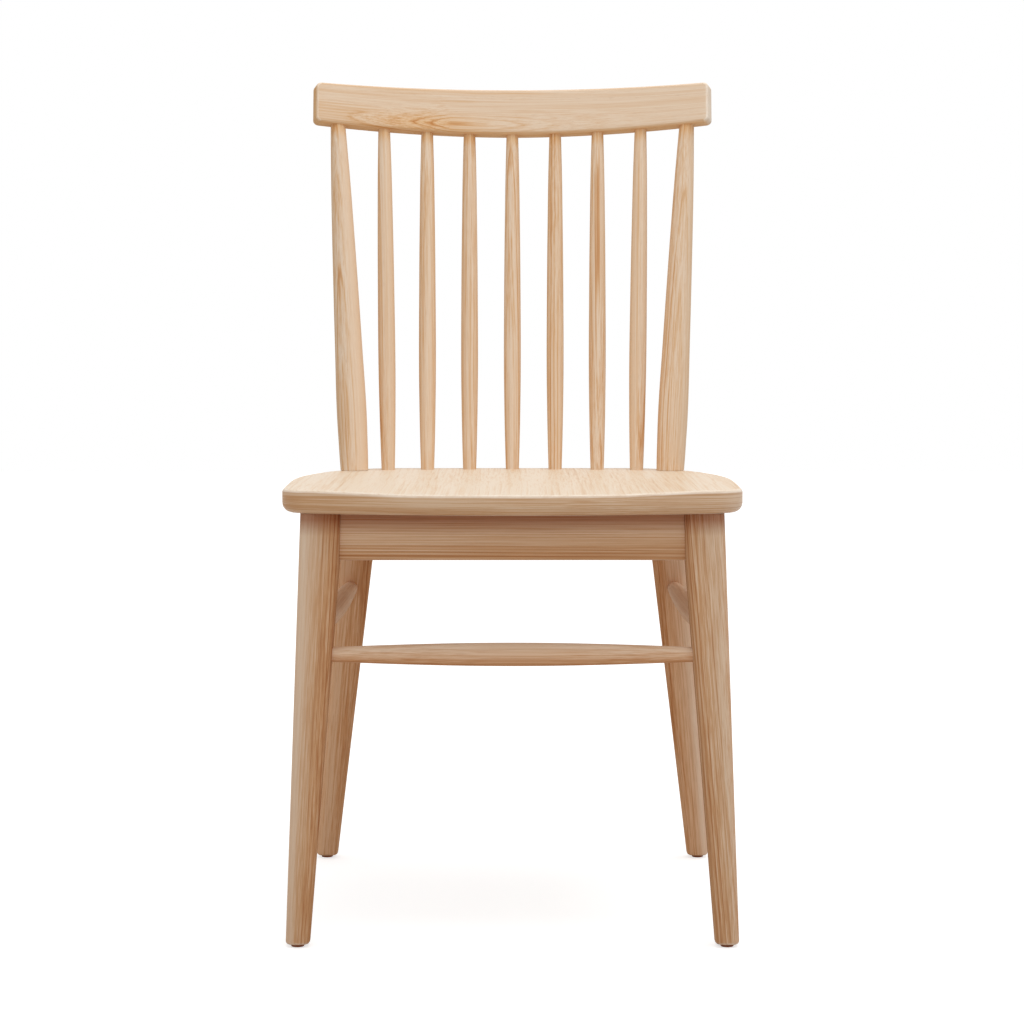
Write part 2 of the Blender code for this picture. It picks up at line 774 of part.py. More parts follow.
def build_chair():
    seat = make_seat()
    rail = make_crest_rail()
    places = list(zip(foot_place_shares, head_place_shares))
    row = [(-foot, -head) for foot, head in reversed(places[1:])] + places
    for number, (foot, head) in enumerate(row, 1):
        make_spindle("spindle_" + str(number), foot * post_foot_x, head * post_head_x, seat, rail)
    make_post("back_post_left", -1, seat, rail)
    make_post("back_post_right", 1, seat, rail)

    legs = {}
    for side in (-1, 1):
        legs["front", side] = Leg(front_foot, front_top, side, True)
        legs["rear", side] = Leg(rear_foot, rear_top, side, False)
    for leg in legs.values():
        make_leg(leg)
        make_glide(leg)

    front_y = legs["front", 1].outer(1, frame_top) + apron_setback
    rear_y = legs["rear", 1].outer(1, frame_top) - apron_setback
    front_inner_y = front_y + apron_thickness
    rear_inner_y = rear_y - apron_thickness
    make_cross_apron("front_apron", legs["front", -1], legs["front", 1], front_y, front_inner_y)
    make_cross_apron("rear_apron", legs["rear", -1], legs["rear", 1], rear_y, rear_inner_y)
    make_stretcher("front_stretcher", legs["front", -1], legs["front", 1],
                   front_stretcher_drop, front_stretcher_drop)
    for side, word in ((-1, "left"), (1, "right")):
        front = legs["front", side]
        rear = legs["rear", side]
        line = SideLine(front, rear)
        make_side_apron("side_apron_" + word, front, rear, line)
        make_stretcher("side_stretcher_" + word, front, rear,
                       side_stretcher_front_drop, side_stretcher_rear_drop)
        for leg, inner_y in ((front, front_inner_y), (rear, rear_inner_y)):
            block = make_corner_block(leg, line, inner_y)
            place_screws(leg, line, inner_y, block, seat)
    centre_on_floor()


build_chair()
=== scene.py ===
from math import asin, atan2, copysign, cos, pi, radians, sin, sqrt

import bmesh
import bpy
import numpy as np
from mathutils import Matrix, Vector


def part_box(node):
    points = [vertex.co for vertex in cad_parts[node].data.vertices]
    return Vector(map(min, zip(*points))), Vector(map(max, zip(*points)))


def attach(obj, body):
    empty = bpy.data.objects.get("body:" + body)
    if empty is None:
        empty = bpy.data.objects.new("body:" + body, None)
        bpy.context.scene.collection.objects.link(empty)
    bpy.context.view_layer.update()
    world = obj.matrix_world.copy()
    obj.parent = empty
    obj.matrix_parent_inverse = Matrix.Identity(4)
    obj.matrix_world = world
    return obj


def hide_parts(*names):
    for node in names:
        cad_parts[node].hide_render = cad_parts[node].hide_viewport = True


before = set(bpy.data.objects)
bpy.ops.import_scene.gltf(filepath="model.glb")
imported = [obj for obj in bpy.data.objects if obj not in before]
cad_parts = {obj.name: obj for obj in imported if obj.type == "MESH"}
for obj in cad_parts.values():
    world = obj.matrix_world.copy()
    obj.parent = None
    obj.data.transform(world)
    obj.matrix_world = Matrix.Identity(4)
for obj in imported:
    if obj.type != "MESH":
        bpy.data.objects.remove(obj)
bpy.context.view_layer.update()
print("chair: frame loaded,", len(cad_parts), "nodes")

up = Vector((0, 0, 1))
rightward = Vector((1, 0, 0))
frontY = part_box("seat")[0].y    # the seat's front edge; places along Y are measured from it
gap = 0.0003                    # metres between pieces that touch
seam = 0.0001                   # the same where the joint shows
near = 0.00001                  # places closer than this count as one
chamfer = 0.001                 # round the ends of turned pieces
sharpest = 35                   # degrees; edges that bend more than this stay sharp
wearAndHighlightBend = 220                  # pale wear and painted highlight start on an arris whose radius is one over this
dressed = {}                    # the pieces made so far, by material slot


# Selecting and shaping
def selectOnly(piece):
    bpy.ops.object.select_all(action="DESELECT")
    piece.select_set(True)
    bpy.context.view_layer.objects.active = piece


def openPiece(piece):
    selectOnly(piece)
    bpy.ops.object.mode_set(mode="EDIT")
    bpy.ops.mesh.select_mode(type="VERT")


def closePiece():
    bpy.ops.object.mode_set(mode="OBJECT")


def pickAll():
    bpy.ops.mesh.select_all(action="SELECT")


def pick(piece, kind, test):
    # kind is verts, edges or faces; test says which of them are wanted
    bpy.ops.mesh.select_mode(type=kind[:-1].upper())
    bpy.ops.mesh.select_all(action="DESELECT")
    bm = bmesh.from_edit_mesh(piece.data)
    bm.normal_update()
    wanted = [item for item in getattr(bm, kind) if test(item)]
    for item in wanted:
        item.select_set(True)
    bm.select_flush_mode()
    bmesh.update_edit_mesh(piece.data)
    if not wanted:
        raise RuntimeError(piece.name + ": nothing was picked")


def isLevel(edge, height):
    return all(abs(vert.co.z - height) < near for vert in edge.verts)


def isSquare(edge):
    return abs(edge.calc_face_angle(0) - pi / 2) < 0.1


def sliceAll(place, way, **options):
    pickAll()
    bpy.ops.mesh.bisect(plane_co=place, plane_no=way, **options)


def roundPicked(width, steps):
    bpy.ops.mesh.bevel(offset=width, segments=steps, affect="EDGES", clamp_overlap=False)


def drawOut(way=(0, 0, 0)):
    bpy.ops.mesh.extrude_region_move(TRANSFORM_OT_translate={"value": way})


def scalePicked(ratio, centre):
    bpy.ops.transform.resize(value=(ratio, ratio, 1), center_override=centre)


def faceOutward():
    pickAll()
    bpy.ops.mesh.normals_make_consistent(inside=False)


def renamed(name, piece=None):
    piece = piece or bpy.context.active_object
    piece.name = piece.data.name = name
    return piece


def applyPlace(piece):
    selectOnly(piece)
    bpy.ops.object.transform_apply(location=True, rotation=True, scale=True)


def addBlock(name, size, centre=(0, 0, 0), turned=0):
    bpy.ops.mesh.primitive_cube_add(size=1, location=centre, rotation=(0, 0, turned), scale=size)
    block = renamed(name)
    applyPlace(block)
    return block


def linked(thing):
    bpy.context.scene.collection.objects.link(thing)
    return thing


def copyOf(piece, name):
    twin = linked(piece.copy())
    twin.data = piece.data.copy()
    return renamed(name, twin)


def mirrored(piece, name):
    # the same piece on the left
    twin = copyOf(piece, name)
    twin.scale = (-1, 1, 1)
    applyPlace(twin)
    openPiece(twin)
    faceOutward()
    closePiece()
    return twin


def settle(piece):
    # smooth shading, and its place moved into its mesh
    applyPlace(piece)
    bpy.ops.object.shade_smooth_by_angle(angle=radians(sharpest))


def standAlong(piece, start, direction):
    piece.location = start
    piece.rotation_mode = "QUATERNION"
    piece.rotation_quaternion = direction.to_track_quat("Z", "Y")


def standsFor(piece, node, slot):
    # the piece is done and takes the place of its solid
    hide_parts(node)
    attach(piece, "root")
    dressed.setdefault(slot, []).append(piece)


def readAll(items, name, width=1, kind=np.float32):
    values = np.empty(len(items) * width, kind)
    items.foreach_get(name, values)
    return values.reshape(-1, width) if width > 1 else values


def places(piece):
    return readAll(piece.data.vertices, "co", 3).astype(float)


def movePlaces(piece, *columns):
    spots = np.stack(columns, axis=1)
    piece.data.vertices.foreach_set("co", spots.astype(np.float32).ravel())
    piece.data.update()


def facing(piece, way):
    # how far each point faces along way, from 0 to 1
    return np.clip(readAll(piece.data.vertices, "normal", 3) @ np.array(way), 0, 1)


def facingAside(piece, power=1):
    return facing(piece, rightward) ** power + facing(piece, -rightward) ** power


def blend(first, last, share):
    return first + (last - first) * share


def smooth(value, first=0, last=1):
    # 0 at first and 1 at last, level beyond them
    share = np.clip((value - first) / (last - first), 0, 1)
    return share * share * (3 - 2 * share)


def writeMask(piece, name, levels):
    levels = levels + np.zeros(len(piece.data.vertices))
    mask = piece.data.attributes.new(name, "FLOAT", "POINT")
    mask.data.foreach_set("value", levels.astype(np.float32))


def writeGrain(piece, spots, domain="POINT"):
    grain = piece.data.attributes.new("grain", "FLOAT_VECTOR", domain)
    grain.data.foreach_set("vector", spots.astype(np.float32).ravel())


# Each wooden piece remembers where it lay in the log: Z along the fibres, X and Y from the pith.
# side is the direction that becomes X, and log holds the start's place there, the turn about the
# fibres in degrees and their slope. lift bends the rings outwards, density packs them and length
# draws the fibres out; warmth reddens the colour and calm quietens the grain
def rememberGrain(piece, start, along, side, log, lift=0, density=1, length=1,
                  warmth=0, calm=0):
    pith, twist, slope = log
    along = along.normalized()
    across = (side - along * side.dot(along)).normalized()
    turn = np.array((across, along.cross(across), along))
    x, y, z = ((places(piece) - np.array(start)) @ turn.T).T
    twist = radians(twist)
    inX = x * cos(twist) - y * sin(twist) + slope[0] * z + pith[0]
    inY = x * sin(twist) + y * cos(twist) + lift + slope[1] * z + pith[1]
    writeGrain(piece, np.stack((inX * density, inY * density, z / length + pith[2]), axis=1))
    writeMask(piece, "warmth", warmth)
    writeMask(piece, "calm", calm)


def rememberEdges(piece, lowest=0, also=0, bend=wearAndHighlightBend):
    # 1 where the surface turns tightly, as on an arris, and 0 on faces and wide curves
    bm = bmesh.new()
    bm.from_mesh(piece.data)
    tight = np.zeros(len(bm.verts))
    for edge in bm.edges:
        if len(edge.link_faces) == 2:
            first, second = (face.calc_center_median() for face in edge.link_faces)
            turning = edge.calc_face_angle(0) / max((first - second).length, 1e-6)
            for vert in edge.verts:
                tight[vert.index] = max(tight[vert.index], turning)
    bm.free()
    wearAndHighlight = smooth(tight, bend, 2 * bend) * (places(piece)[:, 2] > lowest)
    # the mask paints tight arrises pale, partly wear and partly painted highlight, and adds the
    # painted highlight given in also
    writeMask(piece, "wearAndHighlight", np.clip(wearAndHighlight + also, 0, 1))


# Seat
seatBoard = dict(
    width=0.466, depth=0.425, height=0.452, thickness=0.024,
    frontBow=0.037, frontCorner=0.036, sideDraw=0.0025,
    rearCornerX=0.1035, rearCornerY=0.225,
    topRound=0.0036, bottomRound=0.01,
    # flat is the share of the width that is level, front that of the depth at the front edge
    scoop=dict(depth=0.004, halfWidth=0.2, deepest=0.14, rear=0.36, flat=0.45, front=0.75),
    arcPoints=(200, 120, 60, 300), outlinePoints=320, topRings=44, lowerRings=5,
    wearAndHighlightBend=165, rightHighlight=0.4, paintedUnderShade=0.9, paintedSideShade=0.8,
    # where the top and the rim lie in the log, and how the rim's fibres turn the rear corners
    topGrain=dict(spread=(0.9, 1.5, 1.0), start=(0.31, 0.052, 0.0), slope=0.012),
    rimGrain=dict(spread=(0.02, 2.1, 2.0), start=(0.01, 0.083, 3.0), slope=0.004),
    turnFrom=0.05, turnWidth=0.12,
    # the rim's deeper tint, partly the edge's own colour and partly painted shade, fades as its
    # surface turns up, and there is less of it on the underside
    rimFades=(0.3, 0.9), underPaler=0.75,
)


def seatOutline():
    # half the outline, front middle to rear middle, as (x, y)
    s = seatBoard
    half, depth, rounding = s["width"] / 2, s["depth"], s["frontCorner"]
    frontHalf = half - s["sideDraw"]
    radius = (half ** 2 + s["frontBow"] ** 2) / (2 * s["frontBow"])
    cornerX = frontHalf - rounding
    cornerY = radius - sqrt((radius - rounding) ** 2 - cornerX ** 2)
    turn = atan2(cornerX, radius - cornerY)
    quarter = pi / 2
    arcs = (
        (0, turn, lambda a: (radius * sin(a), radius * (1 - cos(a)))),
        (turn - quarter, 0, lambda a: (cornerX + rounding * cos(a),
                                       cornerY + rounding * sin(a))),
        (0, 1, lambda share: (blend(frontHalf, half, 1 - (1 - share) ** 2),
                              blend(cornerY, depth - s["rearCornerY"], share))),
        (0, quarter, lambda a: (half - s["rearCornerX"] * (1 - cos(a)),
                                depth - s["rearCornerY"] * (1 - sin(a)))),
    )
    points = [(0, 0)]
    for (first, last, place), count in zip(arcs, s["arcPoints"]):
        points += [place(value) for value in np.linspace(first, last, count)[1:]]
    return np.array(points + [(0, depth)])


def evenly(points, count):
    # the same line with its points evenly spaced
    steps = np.hypot(*np.diff(points, axis=0).T)
    length = np.concatenate(([0], np.cumsum(steps)))
    wanted = np.linspace(0, length[-1], count)
    return np.stack([np.interp(wanted, length, column) for column in points.T], axis=1)


def scoopAt(x, y):
    s = seatBoard["scoop"]
    aside = smooth(np.abs(x) / s["halfWidth"], s["flat"])
    behind = 1 - smooth(y, s["deepest"], s["rear"])
    ahead = 1 - (1 - s["front"]) * smooth(y, s["deepest"], 0)
    return s["depth"] * (1 - aside) * np.where(y > s["deepest"], behind, ahead)


def fillRings(piece, level, rings):
    # closes one side of the board with rings that shrink to its middle
    centre = (0, frontY + seatBoard["depth"] / 2, level)
    pick(piece, "edges", lambda edge: isLevel(edge, level))
    for left in range(rings - 1, 0, -1):
        drawOut()
        scalePicked(left / (left + 1), centre)
    drawOut()
    bpy.ops.mesh.merge(type="CENTER")


def makeSeat():
    s = seatBoard
    top = s["height"]
    bottom = top - s["thickness"]
    bpy.ops.mesh.primitive_circle_add(vertices=s["outlinePoints"])
    seat = renamed("seatBoard")
    half = evenly(seatOutline(), s["outlinePoints"] // 2 + 1)
    x, y = np.concatenate((half, half[-2:0:-1] * (-1, 1))).T
    movePlaces(seat, x, y + frontY, np.full(len(x), bottom))
    openPiece(seat)
    pickAll()
    drawOut((0, 0, top - bottom))
    fillRings(seat, bottom, s["lowerRings"])
    fillRings(seat, top, s["topRings"])
    faceOutward()
    for level, width, steps in ((top, s["topRound"], 5), (bottom, s["bottomRound"], 7)):
        pick(seat, "edges", lambda edge: isLevel(edge, level) and isSquare(edge))
        roundPicked(width, steps)
    closePiece()
    x, y, z = places(seat).T
    movePlaces(seat, x, y, z - scoopAt(x, y - frontY) * (z > (top + bottom) / 2))
    settle(seat)
    grainOnSeat(seat)
    # painted highlight: surfaces facing right are made paler, as if lit from the right
    rememberEdges(seat, top - s["thickness"] / 2, s["rightHighlight"] * facing(seat, rightward),
                  s["wearAndHighlightBend"])
    below = facing(seat, -up)
    flatBelow = smooth(below, 0.9)      # 1 on the flat of the underside
    onTop = smooth(facing(seat, up), *s["rimFades"])
    writeMask(seat, "rim", 1 - onTop - s["underPaler"] * flatBelow)
    # painted shade: the downward-facing lower arris and the side faces are reddened as if in
    # shade
    warmth = s["paintedUnderShade"] * smooth(below) + s["paintedSideShade"] * facingAside(seat)
    writeMask(seat, "warmth", warmth * (1 - flatBelow))
    standsFor(seat, "seat", "seat_wood")


def grainOnSeat(seat):
    # fibres run front to back over the top, and along the edge round the rim
    def inLog(grain, *columns):
        spots = np.stack(columns, axis=1) * grain["spread"] + grain["start"]
        spots[:, 1] += grain["slope"] * columns[2]
        return spots

    s = seatBoard
    x, y, z = places(seat)[readAll(seat.data.loops, "vertex_index", kind=np.int32)].T
    y = y - frontY
    z = z - s["height"]
    fromSide = np.clip(y - s["turnFrom"], 0, None) * smooth(np.abs(x), 0, s["turnWidth"])
    rim = inLog(s["rimGrain"], y, z, x - np.sign(x) * fromSide)
    level = readAll(seat.data.polygons, "normal", 3)[:, 2]
    corners = readAll(seat.data.polygons, "loop_total", kind=np.int32)
    onRim = np.repeat((level < 0.6) & (level > -0.99), corners)
    top = inLog(s["topGrain"], x, z, y)
    writeGrain(seat, np.where(onRim[:, None], rim, top), "CORNER")


# Back
backFrame = dict(
    lean=radians(12), height=0.3862, rowInset=0.022, rowSag=0.027,
    postFoot=0.1765, postHead=0.1985,
    # foot and head of the middle spindle and of those to its right, as shares of the post's
    shares=((0, 0), (0.273, 0.2475), (0.5405, 0.4915), (0.789, 0.738)),
    seatSocket=0.017, railSocket=0.022, paintedShadeUnderRail=0.018,
)

crestRail = dict(
    length=0.4556, radius=0.8, thickness=0.0215, height=0.0522,
    endRise=0.006, risePower=1.6, corner=0.0058, arris=0.0029,
    crown=0.001, crownReach=0.012, slicesAlong=76, slicesUp=14,
    log=((0.014, 0.052, 0.9), 0, (0.006, 0.008)),
    rightEndHighlight=0.85, leftEndHighlight=-0.1,
    # the nest of pointed grain lines at the lower left, and the warm, lively wood round it
    nest=dict(along=-0.198, up=-0.0155, rise=0.125, gone=0.375, height=0.016, wide=0.0036,
              opening=0.085),
    lively=dict(along=-0.1, up=-0.0165, long=0.062, high=0.0115, warmth=0.8, calm=-0.55),
    calm=0.45, leftWarmth=0.1, leftReach=0.2, rightCalm=0.1, rightReach=0.1,
)

rowY = frontY + seatBoard["depth"] - backFrame["rowInset"]
leanUp = Vector((0, sin(backFrame["lean"]), cos(backFrame["lean"])))
leanBack = Vector((0, cos(backFrame["lean"]), -sin(backFrame["lean"])))
railBase = Vector((0, rowY, seatBoard["height"])) + leanUp * backFrame["height"]


def railRise(along):
    r = crestRail
    return r["endRise"] * np.abs(along / (r["length"] / 2)) ** r["risePower"]


def makeCrestRail():
    r = crestRail
    faceY = r["thickness"] / 2
    rail = addBlock("crestRail", (r["length"], r["thickness"], r["height"]),
                    (0, 0, r["height"] / 2))
    openPiece(rail)
    pick(rail, "edges", lambda edge: abs(edge.verts[0].co.y - edge.verts[1].co.y) > faceY)
    roundPicked(r["corner"], 6)
    sliced = r["length"] - 4 * r["corner"]
    for share in np.linspace(-0.5, 0.5, r["slicesAlong"]):
        sliceAll((sliced * share, 0, 0), rightward)
    for share in np.linspace(0, 1, r["slicesUp"] + 2)[1:-1]:
        sliceAll((0, 0, blend(r["corner"], r["height"] - r["corner"], share)), up)
    pick(rail, "edges", lambda edge: isSquare(edge)
         and all(abs(abs(vert.co.y) - faceY) < near for vert in edge.verts))
    roundPicked(r["arris"], 5)
    closePiece()
    grainOnRail(rail)
    x, y, z = places(rail).T
    # painted highlight: the right end is made paler, as if lit from the right, and the left end a
    # little less pale
    right, left = (facing(rail, way) for way in (rightward, -rightward))
    ends = r["rightEndHighlight"] * right + r["leftEndHighlight"] * left
    ends -= np.abs(x) < r["length"] / 2 - 2 * r["arris"]
    z = z + r["crown"] * (np.abs(y) / faceY) ** 2 * (1 - smooth(z, 0, r["crownReach"]))
    lift = railRise(x) * (1 - z / r["height"])
    angle = x / r["radius"]
    radius = r["radius"] + y
    movePlaces(rail, radius * np.sin(angle), radius * np.cos(angle) - r["radius"], z + lift)
    rail.location = railBase
    rail.rotation_euler = (-backFrame["lean"], 0, 0)
    settle(rail)
    rememberEdges(rail, also=ends)
    standsFor(rail, "crest_rail", "back_wood")


def grainOnRail(rail):
    r = crestRail
    nest, lively = r["nest"], r["lively"]
    middle = r["height"] / 2
    along, upward = (places(rail) - (0, 0, middle)).T[[0, 2]]
    past = np.clip(along - nest["along"], 0, None)
    risen = np.clip(past / nest["rise"], 0, 1)
    faded = 1 - smooth(past, nest["rise"], nest["gone"])
    wide = nest["wide"] + nest["opening"] * nest["rise"] * risen
    lift = nest["height"] * risen * faded * np.exp(-((upward - nest["up"]) / wide) ** 2)
    figured = np.exp(-((upward - lively["up"]) / lively["high"]) ** 2
                     - ((along - lively["along"]) / lively["long"]) ** 2)
    # painted shade: the faces turned down and towards the left end are reddened as if in shade
    warmth = (lively["warmth"] * figured + r["leftWarmth"] * smooth(-along, 0, r["leftReach"])
              + facing(rail, -up) + facing(rail, -rightward))
    calm = r["calm"] + r["rightCalm"] * smooth(along, 0, r["rightReach"])
    rememberGrain(rail, (0, 0, middle), rightward, up, r["log"], lift, warmth=warmth,
                  calm=calm + lively["calm"] * figured)


def footPoint(x):
    sag = backFrame["rowSag"] * (x / backFrame["postFoot"]) ** 2
    return Vector((x, rowY - sag, seatBoard["height"]))


def headPoint(x):
    angle = asin(x / crestRail["radius"])
    inward = crestRail["radius"] * (cos(angle) - 1)
    rise = float(railRise(angle * crestRail["radius"]))
    return railBase + Vector((x, 0, 0)) + leanBack * inward + leanUp * rise


def backLine(foot, head):
    # from the seat up to the rail; foot and head are shares of the posts' places
    start = footPoint(foot * backFrame["postFoot"])
    return start, headPoint(head * backFrame["postHead"]) - start


# Turned pieces start as a disc that is drawn up and scaled at each station
def sizeAt(shares, place):
    # a smooth curve through the (place, size) pairs
    spots, sizes = (np.array(column) for column in zip(*shares))
    slopes = np.gradient(sizes, spots)
    part = int(np.clip(np.searchsorted(spots, place, side="right") - 1, 0, len(spots) - 2))
    span = spots[part + 1] - spots[part]
    rise = sizes[part + 1] - sizes[part]
    t = (place - spots[part]) / span
    leaving = span * slopes[part] - rise
    arriving = rise - span * slopes[part + 1]
    return sizes[part] + t * rise + t * (1 - t) * blend(leaving, arriving, t)


def turnPiece(name, stations, sides):
    # stations are (height, radius) from the foot up
    height, radius = stations[0]
    bpy.ops.mesh.primitive_circle_add(vertices=sides, radius=radius, fill_type="NGON",
                                      location=(0, 0, height))
    piece = renamed(name)
    openPiece(piece)
    bpy.ops.mesh.select_mode(type="FACE")
    pickAll()
    for newHeight, newRadius in stations[1:]:
        drawOut((0, 0, newHeight - height))
        if newRadius != radius:
            scalePicked(newRadius / radius, (0, 0, newHeight))
        height, radius = newHeight, newRadius
    faceOutward()
    closePiece()
    applyPlace(piece)
    return piece


def withEnds(body, low, high):
    # the body's two ends drawn on to low and high, and chamfered there
    foot, head = body[0][1], body[-1][1]
    return ([(low, foot - chamfer), (low + chamfer, foot)] + body
            + [(high - chamfer, head), (high, head - chamfer)])


# logs: where each one came from, how quiet its grain is, and how pale a painted highlight makes
# its left (-) or right side
spindle = dict(
    belly=0.0192, sides=40, stations=54,
    shares=((0, 0.77), (0.085, 0.865), (0.145, 0.917), (0.206, 0.955), (0.267, 0.987), (0.34, 1),
            (0.43, 0.992), (0.51, 0.974), (0.63, 0.943), (0.75, 0.89), (0.87, 0.825), (1, 0.7)),
    warmth=0.08, paintedSideShade=0.6,
    logs=(
        (((0.03, 0.041, 0.2), 20, (0.006, -0.01)), 0.3, 0.7),
        (((0.012, 0.06, 1.3), -15, (0.012, 0.004)), 0.1, 0.3),
        (((0.045, 0.02, 2.6), 65, (-0.004, 0.009)), 0.1, -0.3),
        (((0.004, 0.052, 4.1), 8, (0.01, 0.014)), 0.1, 0.1),
        (((0.038, 0.035, 5.2), 40, (-0.008, 0.006)), 0.0, 0.3),
        (((0.008, 0.073, 6.4), -5, (0.004, -0.012)), -0.6, 0.2),
        (((0.051, 0.016, 7.7), 80, (0.007, 0.007)), 0.0, -0.8),
    ),
)

backPost = dict(
    belly=0.0333, tenon=0.02, sides=56, stations=58,
    shares=((0, 0.92), (0.03, 0.946), (0.086, 0.973), (0.13, 0.994), (0.17, 1), (0.24, 0.981),
            (0.32, 0.938), (0.5, 0.855), (0.68, 0.758), (0.855, 0.64), (1, 0.501)),
    warmth=0, paintedSideShade=0.5,
    logs=dict(
        right=(((0.02, 0.058, 10.6), -20, (-0.005, 0.008)), 0.1, 0.6),
        left=(((0.012, 0.062, 9.1), 12, (0.004, 0.007)), 0.1, 0.9),
    ),
)


def turnedBody(turning, length):
    return [(length * share, turning["belly"] / 2 * sizeAt(turning["shares"], share))
            for share in np.linspace(0, 1, turning["stations"])]


def finishTurned(piece, node, turning, line, log, calm, pale):
    # painted shade: the wood is reddened close under the rail, as if in its shade
    spots = places(piece)
    height = (spots - np.array(railBase)) @ np.array(leanUp) - railRise(spots[:, 0])
    railShade = smooth(height, -backFrame["paintedShadeUnderRail"], 0)
    # painted highlight: a band facing forward and to one side is made paler by quietening its
    # grain
    highlightBand = facing(piece, (copysign(0.8, pale), -0.6, 0)) ** 2
    # painted shade: the sides facing left and right are reddened, as at the shaded edges of a lit
    # round
    sides = turning["paintedSideShade"] * facingAside(piece, 3)
    rememberGrain(piece, *line, rightward, log, length=1.6, calm=calm + abs(pale) * highlightBand,
                  warmth=turning["warmth"] + sides + railShade)
    standsFor(piece, node, "back_wood")


def makeSpindles():
    middle = backLine(0, 0)[1].length
    body = turnedBody(spindle, middle)
    stations = withEnds(body, -backFrame["seatSocket"], middle + backFrame["railSocket"])
    pattern = turnPiece("spindleTurning", stations, spindle["sides"])
    shares = backFrame["shares"]
    row = [(-foot, -head) for foot, head in reversed(shares[1:])] + list(shares)
    for number, (ends, (log, calm, pale)) in enumerate(zip(row, spindle["logs"]), 1):
        piece = copyOf(pattern, "turnedSpindle" + str(number))
        start, reach = backLine(*ends)
        piece.scale = (1, 1, reach.length / middle)
        standAlong(piece, start, reach.normalized())
        settle(piece)
        finishTurned(piece, "spindle_" + str(number), spindle, (start, reach), log, calm, pale)
    bpy.data.objects.remove(pattern)


def makePosts():
    start, reach = backLine(1, 1)
    body = turnedBody(backPost, reach.length)
    foot = body[0][1]
    # the foot runs on into the seat, is cut level there and gets its tenon
    stations = withEnds(body, -foot, reach.length + backFrame["railSocket"])
    post = turnPiece("backPostRight", stations, backPost["sides"])
    standAlong(post, start, reach.normalized())
    applyPlace(post)
    openPiece(post)
    sliceAll((0, 0, seatBoard["height"] + gap), up, use_fill=True, clear_inner=True)
    pick(post, "faces", lambda face: face.normal.z < -0.99)
    bpy.ops.mesh.inset(thickness=foot - backPost["tenon"] / 2)
    drawOut(reach.normalized() * -backFrame["seatSocket"])
    closePiece()
    settle(post)
    posts = (("right", 1, post), ("left", -1, mirrored(post, "backPostLeft")))
    for word, side, piece in posts:
        finishTurned(piece, "back_post_" + word, backPost, backLine(side, side),
                     *backPost["logs"][word])


# Legs
legShape = dict(
    topWidth=0.0402, footWidth=0.0238, arris=0.009, footRound=0.003,
    aprons=0.047, glide=0.0026,
    # middle of the foot and of the top
    front=((0.2131, 0.0065), (0.1914, 0.06)), rear=((0.2143, 0.451), (0.1692, 0.358)),
    highlightBand=(0.5, 0.15), paintedSideShade=0.6,       # where the outer band with its painted highlight fades, as shares inwards
)

# where each one came from, how warm it is at its outer side and how much more across to its inner
# side, and how quiet and how pale its outer band is;
# the rise across to the inner side is painted shade, the rear legs' warmth is partly painted
# shade, and the pale outer band is painted highlight
legLogs = {
    ("front", "left"): (((-0.064, 0.01, 12.0), 0, (0.002, 0.003)), -0.2, 0.4, 0.75, 0.5),
    ("front", "right"): (((0.046, -0.008, 13.4), 4, (0.02, 0.003)), -0.05, 0.2, 0.1, 0.25),
    ("rear", "left"): (((-0.079, 0.02, 15.0), 8, (0.004, 0.004)), 0.75, 0.0, 0.0, 0.0),
    ("rear", "right"): (((0.074, 0.022, 16.5), -8, (-0.004, 0.005)), 0.65, 0.35, 0.3, 1.0),
}

frameTop = seatBoard["height"] - seatBoard["thickness"] - gap
kneeHeight = frameTop - legShape["aprons"]


class Leg:
    # the two outer faces are straight, the two inner ones taper below the knee
    def __init__(self, row, side):
        self.foot, self.top = ((side * x, frontY + y) for x, y in legShape[row])
        self.outward = (side, -1 if row == "front" else 1)
        self.row = row
        self.word = "left" if side < 0 else "right"

    def outer(self, axis, z):
        out = self.outward[axis]
        low = self.foot[axis] + out * legShape["footWidth"] / 2
        high = self.top[axis] + out * legShape["topWidth"] / 2
        return blend(low, high, z / frameTop)

    def inner(self, axis, z):
        out = self.outward[axis]
        if z >= kneeHeight:
            return self.outer(axis, z) - out * legShape["topWidth"]
        low = self.foot[axis] - out * legShape["footWidth"] / 2
        high = self.outer(axis, kneeHeight) - out * legShape["topWidth"]
        return blend(low, high, z / kneeHeight)

    def centre(self, z):
        return Vector([(self.outer(axis, z) + self.inner(axis, z)) / 2 for axis in (0, 1)] + [z])


legs = {(row, side): Leg(row, side) for row in ("front", "rear") for side in (-1, 1)}


